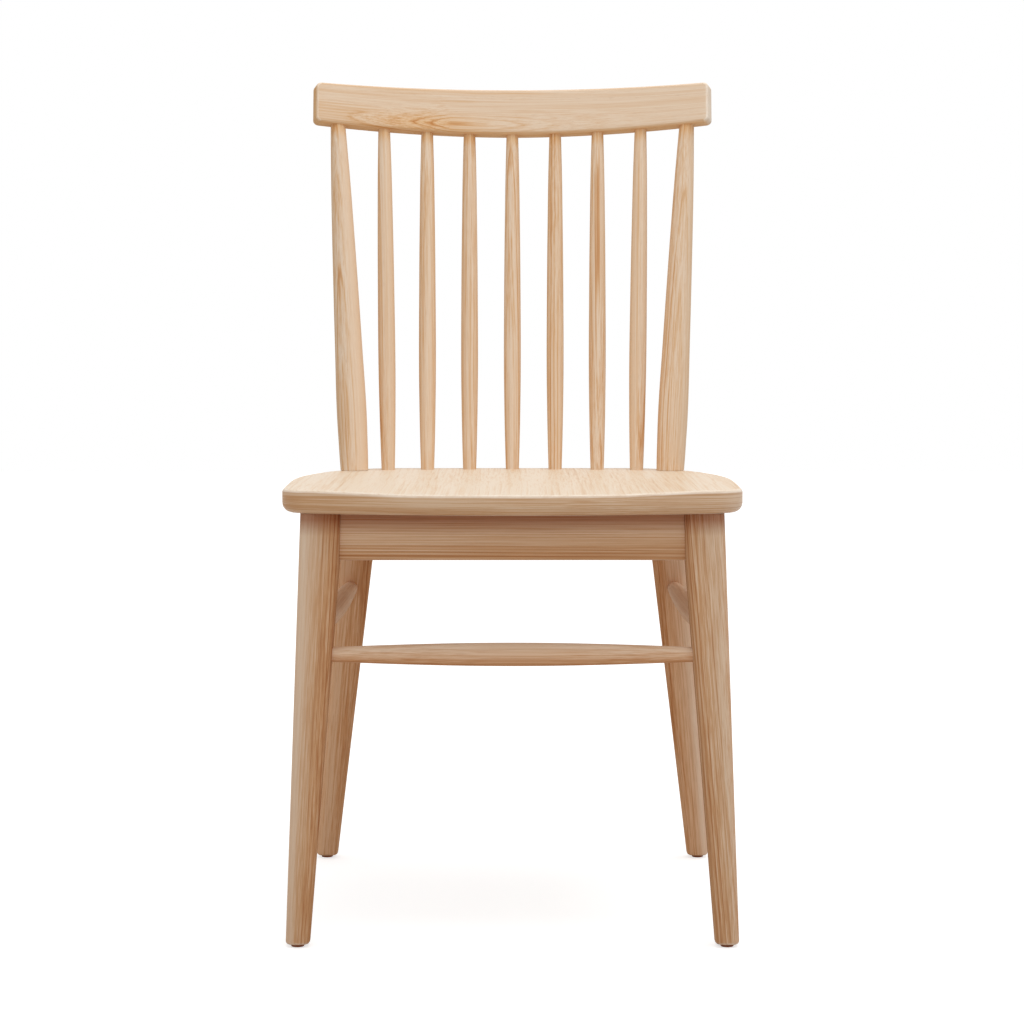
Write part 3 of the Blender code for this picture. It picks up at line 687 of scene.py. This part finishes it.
def makeLegs(row):
    s = legShape
    leg = legs[row, 1]
    bottom = s["glide"] + gap
    away = 5            # a level that is done waits this far up, out of the way
    piece = addBlock(row + "LegRight", (1, 1, 1), (0, 0, 0.5))
    openPiece(piece)
    sliceAll((0, 0, 0.5), up)
    for level, height in ((0, bottom), (0.5, kneeHeight), (1, frameTop)):
        pick(piece, "verts", lambda vert: abs(vert.co.z - level) < 0.01)
        scalePicked(abs(leg.outer(0, height) - leg.inner(0, height)), (0, 0, level))
        bpy.ops.transform.translate(value=leg.centre(height) - up * (level - away))
    pickAll()
    bpy.ops.transform.translate(value=(0, 0, -away))
    pick(piece, "edges", lambda edge: abs(edge.verts[0].co.z - edge.verts[1].co.z) > 0.02)
    roundPicked(s["arris"], 9)
    pick(piece, "edges", lambda edge: isLevel(edge, bottom))
    roundPicked(s["footRound"], 4)
    closePiece()
    settle(piece)
    for side, piece in ((1, piece), (-1, mirrored(piece, row + "LegLeft"))):
        leg = legs[row, side]
        log, warmth, redder, quiet, pale = legLogs[row, leg.word]
        x, y, z = places(piece).T
        wide = blend(s["footWidth"], s["topWidth"], np.clip(z / kneeHeight, 0, 1))
        inward = side * (leg.outer(0, z) - x) / wide
        highlightBand = smooth(inward, *s["highlightBand"])
        # painted shade: the outward side and the inner part are reddened as if in shade
        sideShade = s["paintedSideShade"] * facing(piece, (side, 0, 0)) ** 2
        start = leg.centre(bottom)
        rememberGrain(piece, start, leg.centre(kneeHeight) - start, rightward, log, length=4,
                      warmth=warmth + redder * inward + sideShade, calm=quiet * highlightBand)
        # painted highlight: the outer band is made pale as if lit
        rememberEdges(piece, also=pale * highlightBand ** 2)
        standsFor(piece, row + "_leg_" + leg.word, "base_wood")


glideShape = dict(width=0.013, edge=0.0006, pin=0.0024, pinLength=0.011, sides=32)


def makeGlides():
    g = glideShape
    radius, pin, top = g["width"] / 2, g["pin"] / 2, legShape["glide"]
    rounding = [(share * g["edge"], radius - cut * g["edge"])
                for share, cut in ((0, 1), (0.3, 0.3), (1, 0))]
    stations = rounding + [(top - height, size) for height, size in reversed(rounding)]
    stations += [(top, pin), (top + g["pinLength"], pin)]
    pattern = turnPiece("glideTurning", stations, g["sides"])
    for leg in legs.values():
        piece = copyOf(pattern, leg.row + "Glide" + leg.word.capitalize())
        piece.location = (*leg.foot, 0)
        settle(piece)
        standsFor(piece, leg.row + "_glide_" + leg.word, "glide_plastic")
    bpy.data.objects.remove(pattern)


# Screws in the corner blocks
screwShape = dict(
    head=0.0084, headHeight=0.0026, shank=0.0042, core=0.003, tip=0.004,
    pitch=0.0016, plain=0.006, plainShare=0.98, crestPower=1.5, sides=32,
    recess=(0.0046, 0.0011, 0.0034), recessTaper=0.62,
    # height and width of the pan head and of the tip, as shares of the whole and of the core
    dome=((1, 0.38), (0.98, 0.53), (0.85, 0.74), (0.62, 0.9), (0.35, 0.985), (0.1, 0.985),
          (0, 0.93)),
    point=((0.5, 1 / 3), (0.05, 0.05)),
)


def screwLine(node):
    # where a solid screw's head sits, the way it points and its length below the head
    spots = np.unique(np.round(places(node), 6), axis=0)
    middle = spots.mean(axis=0)
    along = np.linalg.svd(spots - middle)[2][0]
    reach = (spots - middle) @ along
    fromAxis = np.linalg.norm(spots - middle - np.outer(reach, along), axis=1)
    if reach[fromAxis > screwShape["shank"] * 0.75].mean() > 0:
        along, reach = -along, -reach
    seated = reach.min() + screwShape["headHeight"]
    return Vector(middle + along * seated), Vector(along), reach.max() - seated


def screwPattern(length):
    s = screwShape
    plainWidth = s["shank"] * s["plainShare"]
    head = [(-s["headHeight"] * high, s["head"] / 2 * wide) for high, wide in s["dome"]]
    count = int((length - s["tip"]) / (s["pitch"] / 4))
    shank = [(z, plainWidth / 2) for z in np.linspace(0, length - s["tip"], count)]
    tip = [(length - s["tip"] * high, s["core"] * wide) for high, wide in s["point"]]
    pattern = turnPiece("screwTurning", head + shank + tip, s["sides"])
    x, y, z = places(pattern).T
    turns = z / s["pitch"] - np.arctan2(y, x) / (2 * pi)
    crest = np.abs((turns % 1) * 2 - 1) ** s["crestPower"]
    threaded = (z > s["plain"]) & (z < length - s["tip"] * 0.9)
    ratio = np.where(threaded, blend(s["core"], plainWidth, crest) / s["shank"], 1)
    movePlaces(pattern, x * ratio, y * ratio, z)
    for turned in (0, 90):
        cutRecess(pattern, radians(turned))
    return pattern


def cutRecess(pattern, turned):
    # one arm of the driver's cross
    s = screwShape
    arm = addBlock("recessArm", s["recess"], (0, 0, -s["headHeight"]), turned)
    openPiece(arm)
    pick(arm, "faces", lambda face: face.normal.z > 0.9)
    scalePicked(s["recessTaper"], (0, 0, 0))
    closePiece()
    selectOnly(pattern)
    cut = pattern.modifiers.new("recess", "BOOLEAN")
    cut.operation = "DIFFERENCE"
    cut.solver = "EXACT"
    cut.object = arm
    bpy.ops.object.modifier_apply(modifier=cut.name)
    bpy.data.objects.remove(arm)


def makeScrews():
    patterns = {}
    for name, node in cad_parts.items():
        if "screw" not in name:
            continue
        start, along, length = screwLine(node)
        length = round(length, 4)
        if length not in patterns:
            patterns[length] = screwPattern(length)
        row, held, _, side = name.split("_")
        piece = copyOf(patterns[length], held + "Screw" + row.capitalize() + side.capitalize())
        standAlong(piece, start, along)
        settle(piece)
        standsFor(piece, name, "screw_steel")
    for pattern in patterns.values():
        bpy.data.objects.remove(pattern)


# Aprons and stretchers
apronShape = dict(
    thickness=0.02, setback=0.007, arris=0.0009,
    tenonThickness=0.01, tenonHeight=0.033, tenonLength=0.015, warmth=0.25,
    logs=dict(
        front_apron=((0.038, 0.015, 20.0), 0, (0.003, 0.003)),
        rear_apron=((0.04, 0.018, 21.5), 0, (0.004, -0.003)),
        side_apron_right=((0.044, 0.006, 24.5), 0, (-0.004, 0.004)),
        side_apron_left=((0.04, 0.009, 23.0), 0, (0.004, 0.004)),
    ),
)


def makeApron(name, first, second, run, level):
    # from leg to leg, run is the axis it follows; its outer face is set back from the legs'
    # outer faces at the height of level
    a = apronShape
    across = 1 - run
    inward = -first.outward[across]
    (start, startFace), (stop, stopFace) = (
        (leg.inner(run, level), leg.outer(across, level) + inward * a["setback"])
        for leg in (first, second))
    along = Vector((stop - start, stopFace - startFace, 0))
    along = (along if run == 0 else along.yxz).normalized()

    def corner(spot):
        height = frameTop if spot[2] > 0 else kneeHeight
        leg = second if spot[run] > 0 else first
        end = leg.inner(run, height) - leg.outward[run] * seam
        face = blend(startFace, stopFace, (end - start) / (stop - start))
        if spot[across] * inward > 0:
            face += inward * a["thickness"] / along[run]
        return (end, face, height) if run == 0 else (face, end, height)

    apron = addBlock(name, (2, 2, 2))
    movePlaces(apron, *zip(*(corner(spot) for spot in places(apron))))
    openPiece(apron)
    pick(apron, "edges", lambda edge: abs((edge.verts[0].co - edge.verts[1].co).normalized()
                                          .dot(along)) > 0.9)
    roundPicked(a["arris"], 3)
    for way in (-1, 1):
        pick(apron, "faces", lambda face: face.normal.dot(along) * way > 0.9)
        addTenon(apron, along * way, across)
    closePiece()
    settle(apron)
    return apron, along


def addTenon(apron, outward, across):
    # drawn out of the end that is picked; across is the axis of the apron's thickness
    a = apronShape
    faces = bmesh.from_edit_mesh(apron.data).faces
    middle = next(face.calc_center_bounds() for face in faces if face.select)
    ratios = [a["tenonHeight"] / legShape["aprons"]] * 3
    ratios[across] = a["tenonThickness"] / a["thickness"]
    drawOut()
    bpy.ops.transform.resize(value=ratios, center_override=middle)
    drawOut(outward * a["tenonLength"])


def makeAprons():
    a = apronShape
    middle = frameTop - legShape["aprons"] / 2
    made = [(*makeApron(row + "Apron", legs[row, -1], legs[row, 1], 0, frameTop), row + "_apron")
            for row in ("front", "rear")]
    right, along = makeApron("sideApronRight", legs["front", 1], legs["rear", 1], 1, middle)
    made += [(right, along, "side_apron_right"),
             (mirrored(right, "sideApronLeft"), along * Vector((-1, 1, 1)), "side_apron_left")]
    for apron, along, node in made:
        rememberGrain(apron, places(apron).mean(axis=0), along, up, a["logs"][node],
                      density=1.6, length=2.5, warmth=a["warmth"])
        rememberEdges(apron)
        standsFor(apron, node, "base_wood")


# drops: how far below the aprons each end is; logs: where each one came from, how warm it is,
# how quiet its grain is, and how pale its upper side is, which is painted highlight
stretcherShape = dict(
    belly=0.0235, end=0.015, socket=0.013,
    sides=40, stations=40, paintedUnderShade=0.8,
    frontDrops=(0.094, 0.094), sideDrops=(0.0732, 0.0587),
    logs=(
        ((0.052, 0.035, 26.0), 0.2, 0.05, 0.5),
        ((0.068, 0.05, 29.0), 0.9, 0.4, 1.0),
        ((0.066, 0.052, 27.5), 1.0, 0.3, 0.9),
    ),
)


def turnStretcher(name, first, second, drops):
    s = stretcherShape
    heights = [kneeHeight - drop for drop in drops]
    start = first.centre(heights[0])
    reach = second.centre(heights[1]) - start
    along = reach.normalized()
    axis = 0 if abs(along.x) > abs(along.y) else 1
    low, high = ((leg.inner(axis, height) - start[axis]) / along[axis]
                 for leg, height in zip((first, second), heights))
    body = [(blend(low, high, share),
             blend(s["end"] / 2, s["belly"] / 2, sin(pi * share)))
            for share in np.linspace(0, 1, s["stations"])]
    stations = withEnds(body, low - s["socket"], high + s["socket"])
    piece = turnPiece(name, stations, s["sides"])
    standAlong(piece, start, along)
    settle(piece)
    return piece, start, along


def makeStretchers():
    s = stretcherShape
    flip = Vector((-1, 1, 1))
    front = turnStretcher("frontStretcher", legs["front", -1], legs["front", 1], s["frontDrops"])
    right = turnStretcher("sideStretcherRight", legs["front", 1], legs["rear", 1], s["sideDrops"])
    left = mirrored(right[0], "sideStretcherLeft"), right[1] * flip, right[2] * flip
    nodes = ("front_stretcher", "side_stretcher_right", "side_stretcher_left")
    for (piece, start, along), node, (pith, warmth, calm, pale) in zip(
            (front, right, left), nodes, s["logs"]):
        # painted shade: the faces turned down are reddened as if in shade
        below = facing(piece, (0, -0.5, -0.85))
        rememberGrain(piece, start, along, up, (pith, 0, (0.002, 0.002)), length=3,
                      warmth=warmth + s["paintedUnderShade"] * below, calm=calm)
        # painted highlight: the upper side is made pale as if lit
        writeMask(piece, "wearAndHighlight", pale * (1 - below))
        standsFor(piece, node, "base_wood")


# Materials
class Shades:
    # adds nodes to one node tree
    def __init__(self, tree):
        self.tree = tree

    def fill(self, node, values):
        # a socket is linked, and anything else is set
        for name, value in values.items():
            if isinstance(value, bpy.types.NodeSocket):
                self.tree.links.new(value, node.inputs[name])
            else:
                node.inputs[name].default_value = value

    def add(self, kind, values=None, **settings):
        node = self.tree.nodes.new("ShaderNode" + kind)
        for key, value in settings.items():
            setattr(node, key, value)
        self.fill(node, values or {})
        return node

    def maths(self, operation, *values, clamp=False):
        node = self.add("Math", dict(enumerate(values)), operation=operation, use_clamp=clamp)
        return node.outputs[0]

    def times(self, first, second, plus=None):
        if plus is None:
            return self.maths("MULTIPLY", first, second)
        return self.maths("MULTIPLY_ADD", first, second, plus)

    def vectors(self, operation, first, second=None):
        values = {0: first}
        if second is not None:
            values["Scale" if operation == "SCALE" else 1] = second
        node = self.add("VectorMath", values, operation=operation)
        return node.outputs["Value" if operation == "LENGTH" else "Vector"]

    def noise(self, vector, scale=None, detail=2.0, rough=0.5, output="Fac"):
        if scale:
            vector = self.vectors("MULTIPLY", vector, scale)
        node = self.add("TexNoise", {"Vector": vector, "Scale": 1.0, "Detail": detail,
                                     "Roughness": rough})
        return node.outputs[output]

    def spread(self, value, low, high, first=0.0, last=1.0):
        node = self.add("MapRange", {"Value": value, "From Min": low, "From Max": high,
                                     "To Min": first, "To Max": last}, clamp=True)
        return node.outputs["Result"]

    def mix(self, share, first, second, how="MIX"):
        first, second = ((*colour, 1) if isinstance(colour, tuple) else colour
                         for colour in (first, second))
        node = self.add("Mix", {0: share, 6: first, 7: second}, data_type="RGBA",
                        blend_type=how, clamp_factor=True)
        return node.outputs[2]

    def bump(self, height, strength, distance):
        node = self.add("Bump", {"Strength": strength, "Distance": distance, "Height": height})
        return node.outputs["Normal"]

    def onObject(self):
        return self.add("TexCoord").outputs["Object"]


def newGroup(name, numbers, results):
    tree = bpy.data.node_groups.new(name, "ShaderNodeTree")
    socket = tree.interface.new_socket
    socket("Place", in_out="INPUT", socket_type="NodeSocketVector")
    for word, value in numbers.items():
        socket(word, in_out="INPUT", socket_type="NodeSocketFloat").default_value = value
    for word in results:
        socket(word, in_out="OUTPUT", socket_type="NodeSocketFloat")
    entry, leave = (tree.nodes.new("NodeGroup" + end) for end in ("Input", "Output"))
    return Shades(tree), entry.outputs, leave


# The scales below are repeats per metre across the fibres, twice, and along them
def buildFibreGroup():
    # growth rings round the pith, fibre streaks along it and pores in the early wood
    t, entry, leave = newGroup(
        "woodFibres", {"Ring Width": 0.0042, "Sway": 0.006, "Fibre Scale": 1.0},
        ("Rings", "Streaks", "Fine", "Pores", "Figure", "Tone", "Heart"))
    place = entry["Place"]

    # slow sway of the rings along the log, and a finer waver
    sway, waver = (
        t.vectors("SUBTRACT", t.noise(place, scale, output="Color"), (0.5, 0.5, 0.5))
        for scale in ((13, 13, 1.7), (70, 70, 6)))
    sway = t.vectors("SCALE", sway, entry["Sway"])
    waver = t.vectors("MULTIPLY", waver, (0.0012, 0.0012, 0))
    moved = t.vectors("ADD", t.vectors("ADD", place, sway), waver)

    # rings, unevenly spaced and unevenly dark
    radius = t.vectors("LENGTH", t.vectors("MULTIPLY", moved, (1, 1, 0)))
    count = t.maths("DIVIDE", radius, entry["Ring Width"])
    outward = t.add("CombineXYZ", {"X": t.times(count, 0.37)}).outputs[0]
    uneven = t.noise(outward, detail=1.0)
    count = t.maths("ADD", count, t.times(uneven, 2.2))     # moved by up to this many rings
    part = t.maths("FRACT", count)
    ramp = t.add("ValToRGB", {"Fac": part})
    ramp.color_ramp.interpolation = "EASE"
    points = ((0.0, 0.0), (0.4, 0.12), (0.64, 0.5), (0.8, 1.0), (0.91, 0.45), (1.0, 0.0))
    marks = ramp.color_ramp.elements
    while len(marks) < len(points):
        marks.new(0.5)
    for mark, (spot, level) in zip(marks, points):
        mark.position = spot
        mark.color = (level, level, level, 1)
    number = t.times(t.maths("FLOOR", count), 1.73)         # far enough apart in the noise
    which = t.add("CombineXYZ", {"X": number}).outputs[0]
    strength = t.spread(t.noise(which, detail=0.0), 0.3, 0.7, 0.25, 1.0)
    rings = t.times(ramp.outputs["Color"], strength)

    # pores, fewer in the late wood, and darker heartwood towards the pith
    dashes = t.spread(t.noise(moved, (2300, 2300, 110), 1.0), 0.6, 0.68)
    early = t.spread(part, 0.05, 0.6, 1.0, 0.25)
    heart = t.spread(radius, 0.042, 0.078, 1.0, 0.0)
    t.fill(leave, {"Rings": rings, "Pores": t.times(dashes, early), "Heart": heart})

    # fibres, broad figure and the tone of the whole piece
    finer = t.vectors("SCALE", moved, entry["Fibre Scale"])
    for name, where, scale, detail, rough, low, high in (
        ("Streaks", finer, (430, 430, 2.0), 4.0, 0.62, 0.33, 0.67),
        ("Fine", finer, (1400, 1400, 9), 3.0, 0.6, 0.3, 0.7),
        ("Figure", moved, (24, 24, 2.0), 2.0, 0.5, 0.3, 0.7),
        ("Tone", place, (2.5, 2.5, 0.7), 0.0, 0.5, 0.3, 0.7),
    ):
        pattern = t.noise(where, scale, detail, rough)
        t.fill(leave, {name: t.spread(pattern, low, high)})
    return t.tree


def buildWearAndHighlightGroup():
    # breaks up the pale edges into patches, partly wear that hands and cloths have polished and
    # partly painted highlight
    t, entry, leave = newGroup("wearAndHighlightEdges", {"Edge": 0.0}, ("Wear And Highlight",))
    patches = t.spread(t.noise(entry["Place"], (60, 60, 25), 3.0, 0.6), 0.32, 0.6, 0.55, 1.0)
    t.fill(leave, {"Wear And Highlight": t.times(patches, entry["Edge"])})
    return t.tree


# what every wood has unless it says otherwise: how much each pattern tells in the colour, in the
# roughness and in the relief
woodFinish = dict(
    ringsEven=1.0, heart=0.0, pores=0.25, swirl=0.0, tone=0.2, gloss=0.0,
    fineRough=0.1, poreRough=0.12, wornRough=-0.12,
    fineRelief=0.35, ringRelief=0.25, relief=(0.22, 0.00012),
)

woods = dict(
    seatWood=dict(
        pale=(0.8, 0.668, 0.522), amber=(0.748, 0.568, 0.396), deep=(0.64, 0.43, 0.255),
        tint=(0.95, 0.86, 0.76), pore=(0.55, 0.37, 0.22),
        ringWidth=0.0065, sway=0.01, fibres=1.2,
        rings=0.5, streaks=0.85, fine=0.4, figure=0.45, bias=0.08,
        roughness=0.47, gloss=0.16, coat=0.05, wearAndHighlightStrength=0.8,
        rimTint=(0.9, 0.765, 0.655), rimDepth=2.2,
    ),
    backWood=dict(
        pale=(0.835, 0.68, 0.535), amber=(0.73, 0.485, 0.288), deep=(0.6, 0.315, 0.15),
        tint=(1.0, 0.84, 0.63), pore=(0.47, 0.26, 0.13),
        ringWidth=0.004, sway=0.007, fibres=1.5,
        rings=0.65, streaks=0.8, fine=0.75, figure=0.35, heart=0.1, bias=0.05, swirl=1.0,
        roughness=0.47, coat=0.03, wearAndHighlightStrength=0.72,
    ),
    baseWood=dict(
        pale=(0.745, 0.558, 0.398), amber=(0.585, 0.338, 0.176), deep=(0.43, 0.195, 0.085),
        tint=(1.06, 0.85, 0.69), pore=(0.32, 0.15, 0.06),
        ringWidth=0.0039, sway=0.003, fibres=1.45,
        rings=0.8, ringsEven=0.45, streaks=0.6, fine=0.6, figure=0.38, heart=0.5, bias=0.06,
        roughness=0.5, coat=0.02, wearAndHighlightStrength=0.35,
        paintedSeatShade=(0.6, 0.42, 0.36),
    ),
    sawnBlock=dict(
        pale=(0.6, 0.43, 0.28), amber=(0.51, 0.34, 0.21), deep=(0.42, 0.26, 0.15),
        pore=(0.28, 0.16, 0.09),
        ringWidth=0.0036, sway=0.006, fibres=1.0,
        rings=0.7, streaks=0.6, fine=0.4, figure=0.4, pores=0.5, bias=0.1,
        roughness=0.72, gloss=0.1, coat=0.0,
    ),
)
# the pale colour of worn arrises and of painted highlight
wearAndHighlightColour = (0.97, 0.87, 0.75)
seatShadeDepth, seatShadeEdge = 0.022, 0.006        # below the seat, where the painted shade's tint fades

# the patches of the metal and the plastic, repeats per metre
smallFinishes = dict(
    zincScrew=dict(
        cloud=900, cloudRough=0.6, grit=5200, light=(0.62, 0.6, 0.56),
        dark=(0.47, 0.46, 0.45), roughBy="cloud", roughness=(0.28, 0.46),
        bump=(0.2, 0.00005), shader=dict(Metallic=1.0),
    ),
    glidePlastic=dict(
        cloud=260, cloudRough=0.55, grit=3000, light=(0.34, 0.105, 0.038),
        dark=(0.26, 0.083, 0.032), roughBy="grit", roughness=(0.5, 0.68),
        bump=(0.25, 0.00008), shader={"Specular IOR Level": 0.2},
    ),
)


def plainMaterial(name):
    material = bpy.data.materials.new(name)
    material.use_nodes = True
    tree = material.node_tree
    return material, Shades(tree), tree.nodes["Principled BSDF"]


def dress(pieces, material):
    for piece in pieces:
        piece.data.materials.clear()
        piece.data.materials.append(material)


def woodMaterial(name):
    material, t, shader = plainMaterial(name)
    place = t.add("Attribute", attribute_name="grain").outputs["Vector"]
    masks = {mask: t.add("Attribute", attribute_name=mask).outputs["Fac"]
             for mask in ("wearAndHighlight", "warmth", "calm", "rim")}
    paintWood(t, shader, place, name, masks)
    return material


def blockMaterial(name, turn):
    # bare sawn wood, placed by object coordinates
    material, t, shader = plainMaterial(name)
    mapping = t.add("Mapping", {"Vector": t.onObject(), "Location": (0.3, 0.24, 18.0),
                                "Rotation": turn})
    paintWood(t, shader, mapping.outputs[0], "sawnBlock")
    return material


def paintWood(t, shader, place, name, masks=None):
    w = {**woodFinish, **woods[name]}
    wood = t.add("Group", {"Place": place, "Ring Width": w["ringWidth"], "Sway": w["sway"],
                           "Fibre Scale": w["fibres"]}, node_tree=fibres).outputs
    rings = t.spread(wood["Heart"], 0.0, 1.0, w["rings"] * w["ringsEven"], w["rings"])
    grain = t.times(wood["Rings"], rings)
    if masks:
        swirl = t.times(masks["warmth"], w["swirl"], 1.0)
        grain = t.times(grain, swirl)
    for pattern in ("streaks", "fine", "figure"):
        middle = t.maths("SUBTRACT", wood[pattern.capitalize()], 0.5)
        grain = t.times(middle, w[pattern], grain)
    if masks:
        grain = t.times(grain, t.maths("SUBTRACT", 1.0, masks["calm"]))
    depth = t.times(wood["Heart"], w["heart"], t.maths("ADD", grain, w["bias"]))
    if "rimTint" in w:
        onRim = t.times(masks["rim"], w["rimDepth"], 1.0)
        depth = t.times(depth, onRim)
    depth = t.maths("MAXIMUM", depth, 0.0, clamp=True)
    colour = t.mix(t.spread(depth, 0.0, 0.5), w["pale"], w["amber"])
    colour = t.mix(t.spread(depth, 0.5, 1.0), colour, w["deep"])
    if masks:
        # warmth tints the wood: its own redder tone, and on many pieces painted shade
        tone = t.times(wood["Tone"], w["tone"], masks["warmth"])
        colour = t.mix(tone, colour, w["tint"], "MULTIPLY")
    if "rimTint" in w:
        colour = t.mix(masks["rim"], colour, w["rimTint"], "MULTIPLY")
    colour = t.mix(t.times(wood["Pores"], w["pores"]), colour, w["pore"])
    rough = t.times(wood["Fine"], w["fineRough"], w["roughness"] - w["fineRough"] / 2)
    rough = t.times(wood["Pores"], w["poreRough"], rough)
    if masks:
        # pale wear and painted highlight on the arrises, and painted highlight on lit sides
        wearAndHighlight = t.add("Group", {"Place": place, "Edge": masks["wearAndHighlight"]}, node_tree=wearAndHighlightGroup).outputs[0]
        colour = t.mix(t.times(wearAndHighlight, w["wearAndHighlightStrength"]), colour, wearAndHighlightColour)
        rough = t.times(wearAndHighlight, w["wornRough"], rough)
    if "paintedSeatShade" in w:
        # painted shade: the wood is darkened in the corner close under the seat, as if in its
        # shade
        height = t.add("SeparateXYZ", {0: t.onObject()}).outputs["Z"]
        seatShadeShare = t.spread(height, frameTop - seatShadeDepth, frameTop - seatShadeEdge)
        colour = t.mix(seatShadeShare, colour, w["paintedSeatShade"], "MULTIPLY")
    fine = t.times(wood["Fine"], w["fineRelief"])
    height = t.times(wood["Pores"], -1.0, fine)
    height = t.times(wood["Rings"], w["ringRelief"], height)
    t.fill(shader, {
        "Base Color": colour, "Roughness": rough, "Normal": t.bump(height, *w["relief"]),
        "Coat Weight": w["coat"], "Coat Roughness": 0.3, "Specular IOR Level": w["gloss"],
    })


def smallMaterial(name):
    # cloudy and gritty, for the screws and the glides
    material, t, shader = plainMaterial(name)
    f = smallFinishes[name]
    patterns = {"cloud": t.noise(t.onObject(), [f["cloud"]] * 3, 3.0, f["cloudRough"]),
                "grit": t.noise(t.onObject(), [f["grit"]] * 3, 2.0, 0.6)}
    clouded = t.spread(patterns["cloud"], 0.3, 0.7)
    t.fill(shader, {
        "Base Color": t.mix(clouded, f["light"], f["dark"]),
        "Roughness": t.spread(patterns[f["roughBy"]], 0.2, 0.8, *f["roughness"]),
        "Normal": t.bump(patterns["grit"], *f["bump"]), **f["shader"],
    })
    return material


# Make the chair
makeSeat()
print("chair: seat made")

makeCrestRail()
makeSpindles()
makePosts()
print("chair: back made")

makeLegs("front")
makeLegs("rear")
makeGlides()
makeScrews()
makeAprons()
makeStretchers()
print("chair: base made")

fibres = buildFibreGroup()
wearAndHighlightGroup = buildWearAndHighlightGroup()
dress(dressed["seat_wood"], woodMaterial("seatWood"))
dress(dressed["back_wood"], woodMaterial("backWood"))
dress(dressed["base_wood"], woodMaterial("baseWood"))
dress(dressed["glide_plastic"], smallMaterial("glidePlastic"))
dress(dressed["screw_steel"], smallMaterial("zincScrew"))
for name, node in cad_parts.items():
    if "corner_block" in name:
        row, side = name.split("_")[0], name.split("_")[-1]
        slant = 45 if (row == "front") == (side == "left") else -45
        dress([node], blockMaterial("sawn" + row.capitalize() + side.capitalize(),
                                    (radians(90), 0, radians(slant))))
print("chair: finishes on")


# Studio
view = dict(
    lens=94.22, sensor=36,       # mm
    distance=2.6164,             # in front of the seat's front edge
    height=0.6208,
    pitch=4.119,                 # degrees below level
    sideways=-0.0004,
)

studio = dict(
    floorSize=16.0, floorTone=0.62, skyLight=0.62,
    glow=(0.4, 3.5, 0.62, 0.76),        # where the floor's glow changes, from what and to what
    # place, power and size
    topLamp=((0.45, -0.25, 3.0), 35.0, 2.4),
    frontLamp=((0.1, -3.7, 1.9), 12.0, 2.8),
    aim=(0, 0, 0.45),
)


def addLamp(name):
    data = bpy.data.lights.new(name, "AREA")
    data.shape = "DISK"
    lamp = linked(bpy.data.objects.new(name, data))
    lamp.location, data.energy, data.size = studio[name]
    aim = Vector(studio["aim"]) - lamp.location
    lamp.rotation_euler = aim.to_track_quat("-Z", "Y").to_euler()


def seenDirectly(t):
    # 1 for the camera, and for what shines back or shows through
    path = t.add("LightPath").outputs
    seen = t.maths("MAXIMUM", path["Is Camera Ray"], path["Is Glossy Ray"])
    return t.maths("MAXIMUM", seen, path["Is Transmission Ray"])


def makeFloor():
    bpy.ops.mesh.primitive_plane_add(size=studio["floorSize"])
    floor = renamed("studioFloor")
    material, t, shader = plainMaterial("floorPaint")
    away = t.vectors("LENGTH", t.onObject())
    glow = t.spread(away, *studio["glow"])
    t.fill(shader, {
        "Base Color": (*[studio["floorTone"]] * 3, 1), "Roughness": 0.9,
        "Emission Color": (1, 1, 1, 1),
        "Emission Strength": t.times(seenDirectly(t), glow),
    })
    dress([floor], material)


def makeSky():
    world = bpy.data.worlds.new("studioSky")
    bpy.context.scene.world = world
    world.use_nodes = True
    world.node_tree.nodes.clear()
    t = Shades(world.node_tree)
    soft, white = (t.add("Background", {"Color": (1, 1, 1, 1), "Strength": strength})
                   for strength in (studio["skyLight"], 1.0))
    both = t.add("MixShader", {0: seenDirectly(t), 1: soft.outputs[0], 2: white.outputs[0]})
    t.add("OutputWorld", {"Surface": both.outputs[0]})


def addCamera():
    data = bpy.data.cameras.new("photoCamera")
    data.lens = view["lens"]
    data.sensor_width = view["sensor"]
    camera = linked(bpy.data.objects.new("photoCamera", data))
    camera.location = (view["sideways"], frontY - view["distance"], view["height"])
    camera.rotation_euler = (radians(90 - view["pitch"]), 0, 0)
    bpy.context.scene.camera = camera
    bpy.context.scene.view_settings.view_transform = "Standard"


makeFloor()
makeSky()
addLamp("topLamp")
addLamp("frontLamp")
addCamera()
print("chair: studio ready")
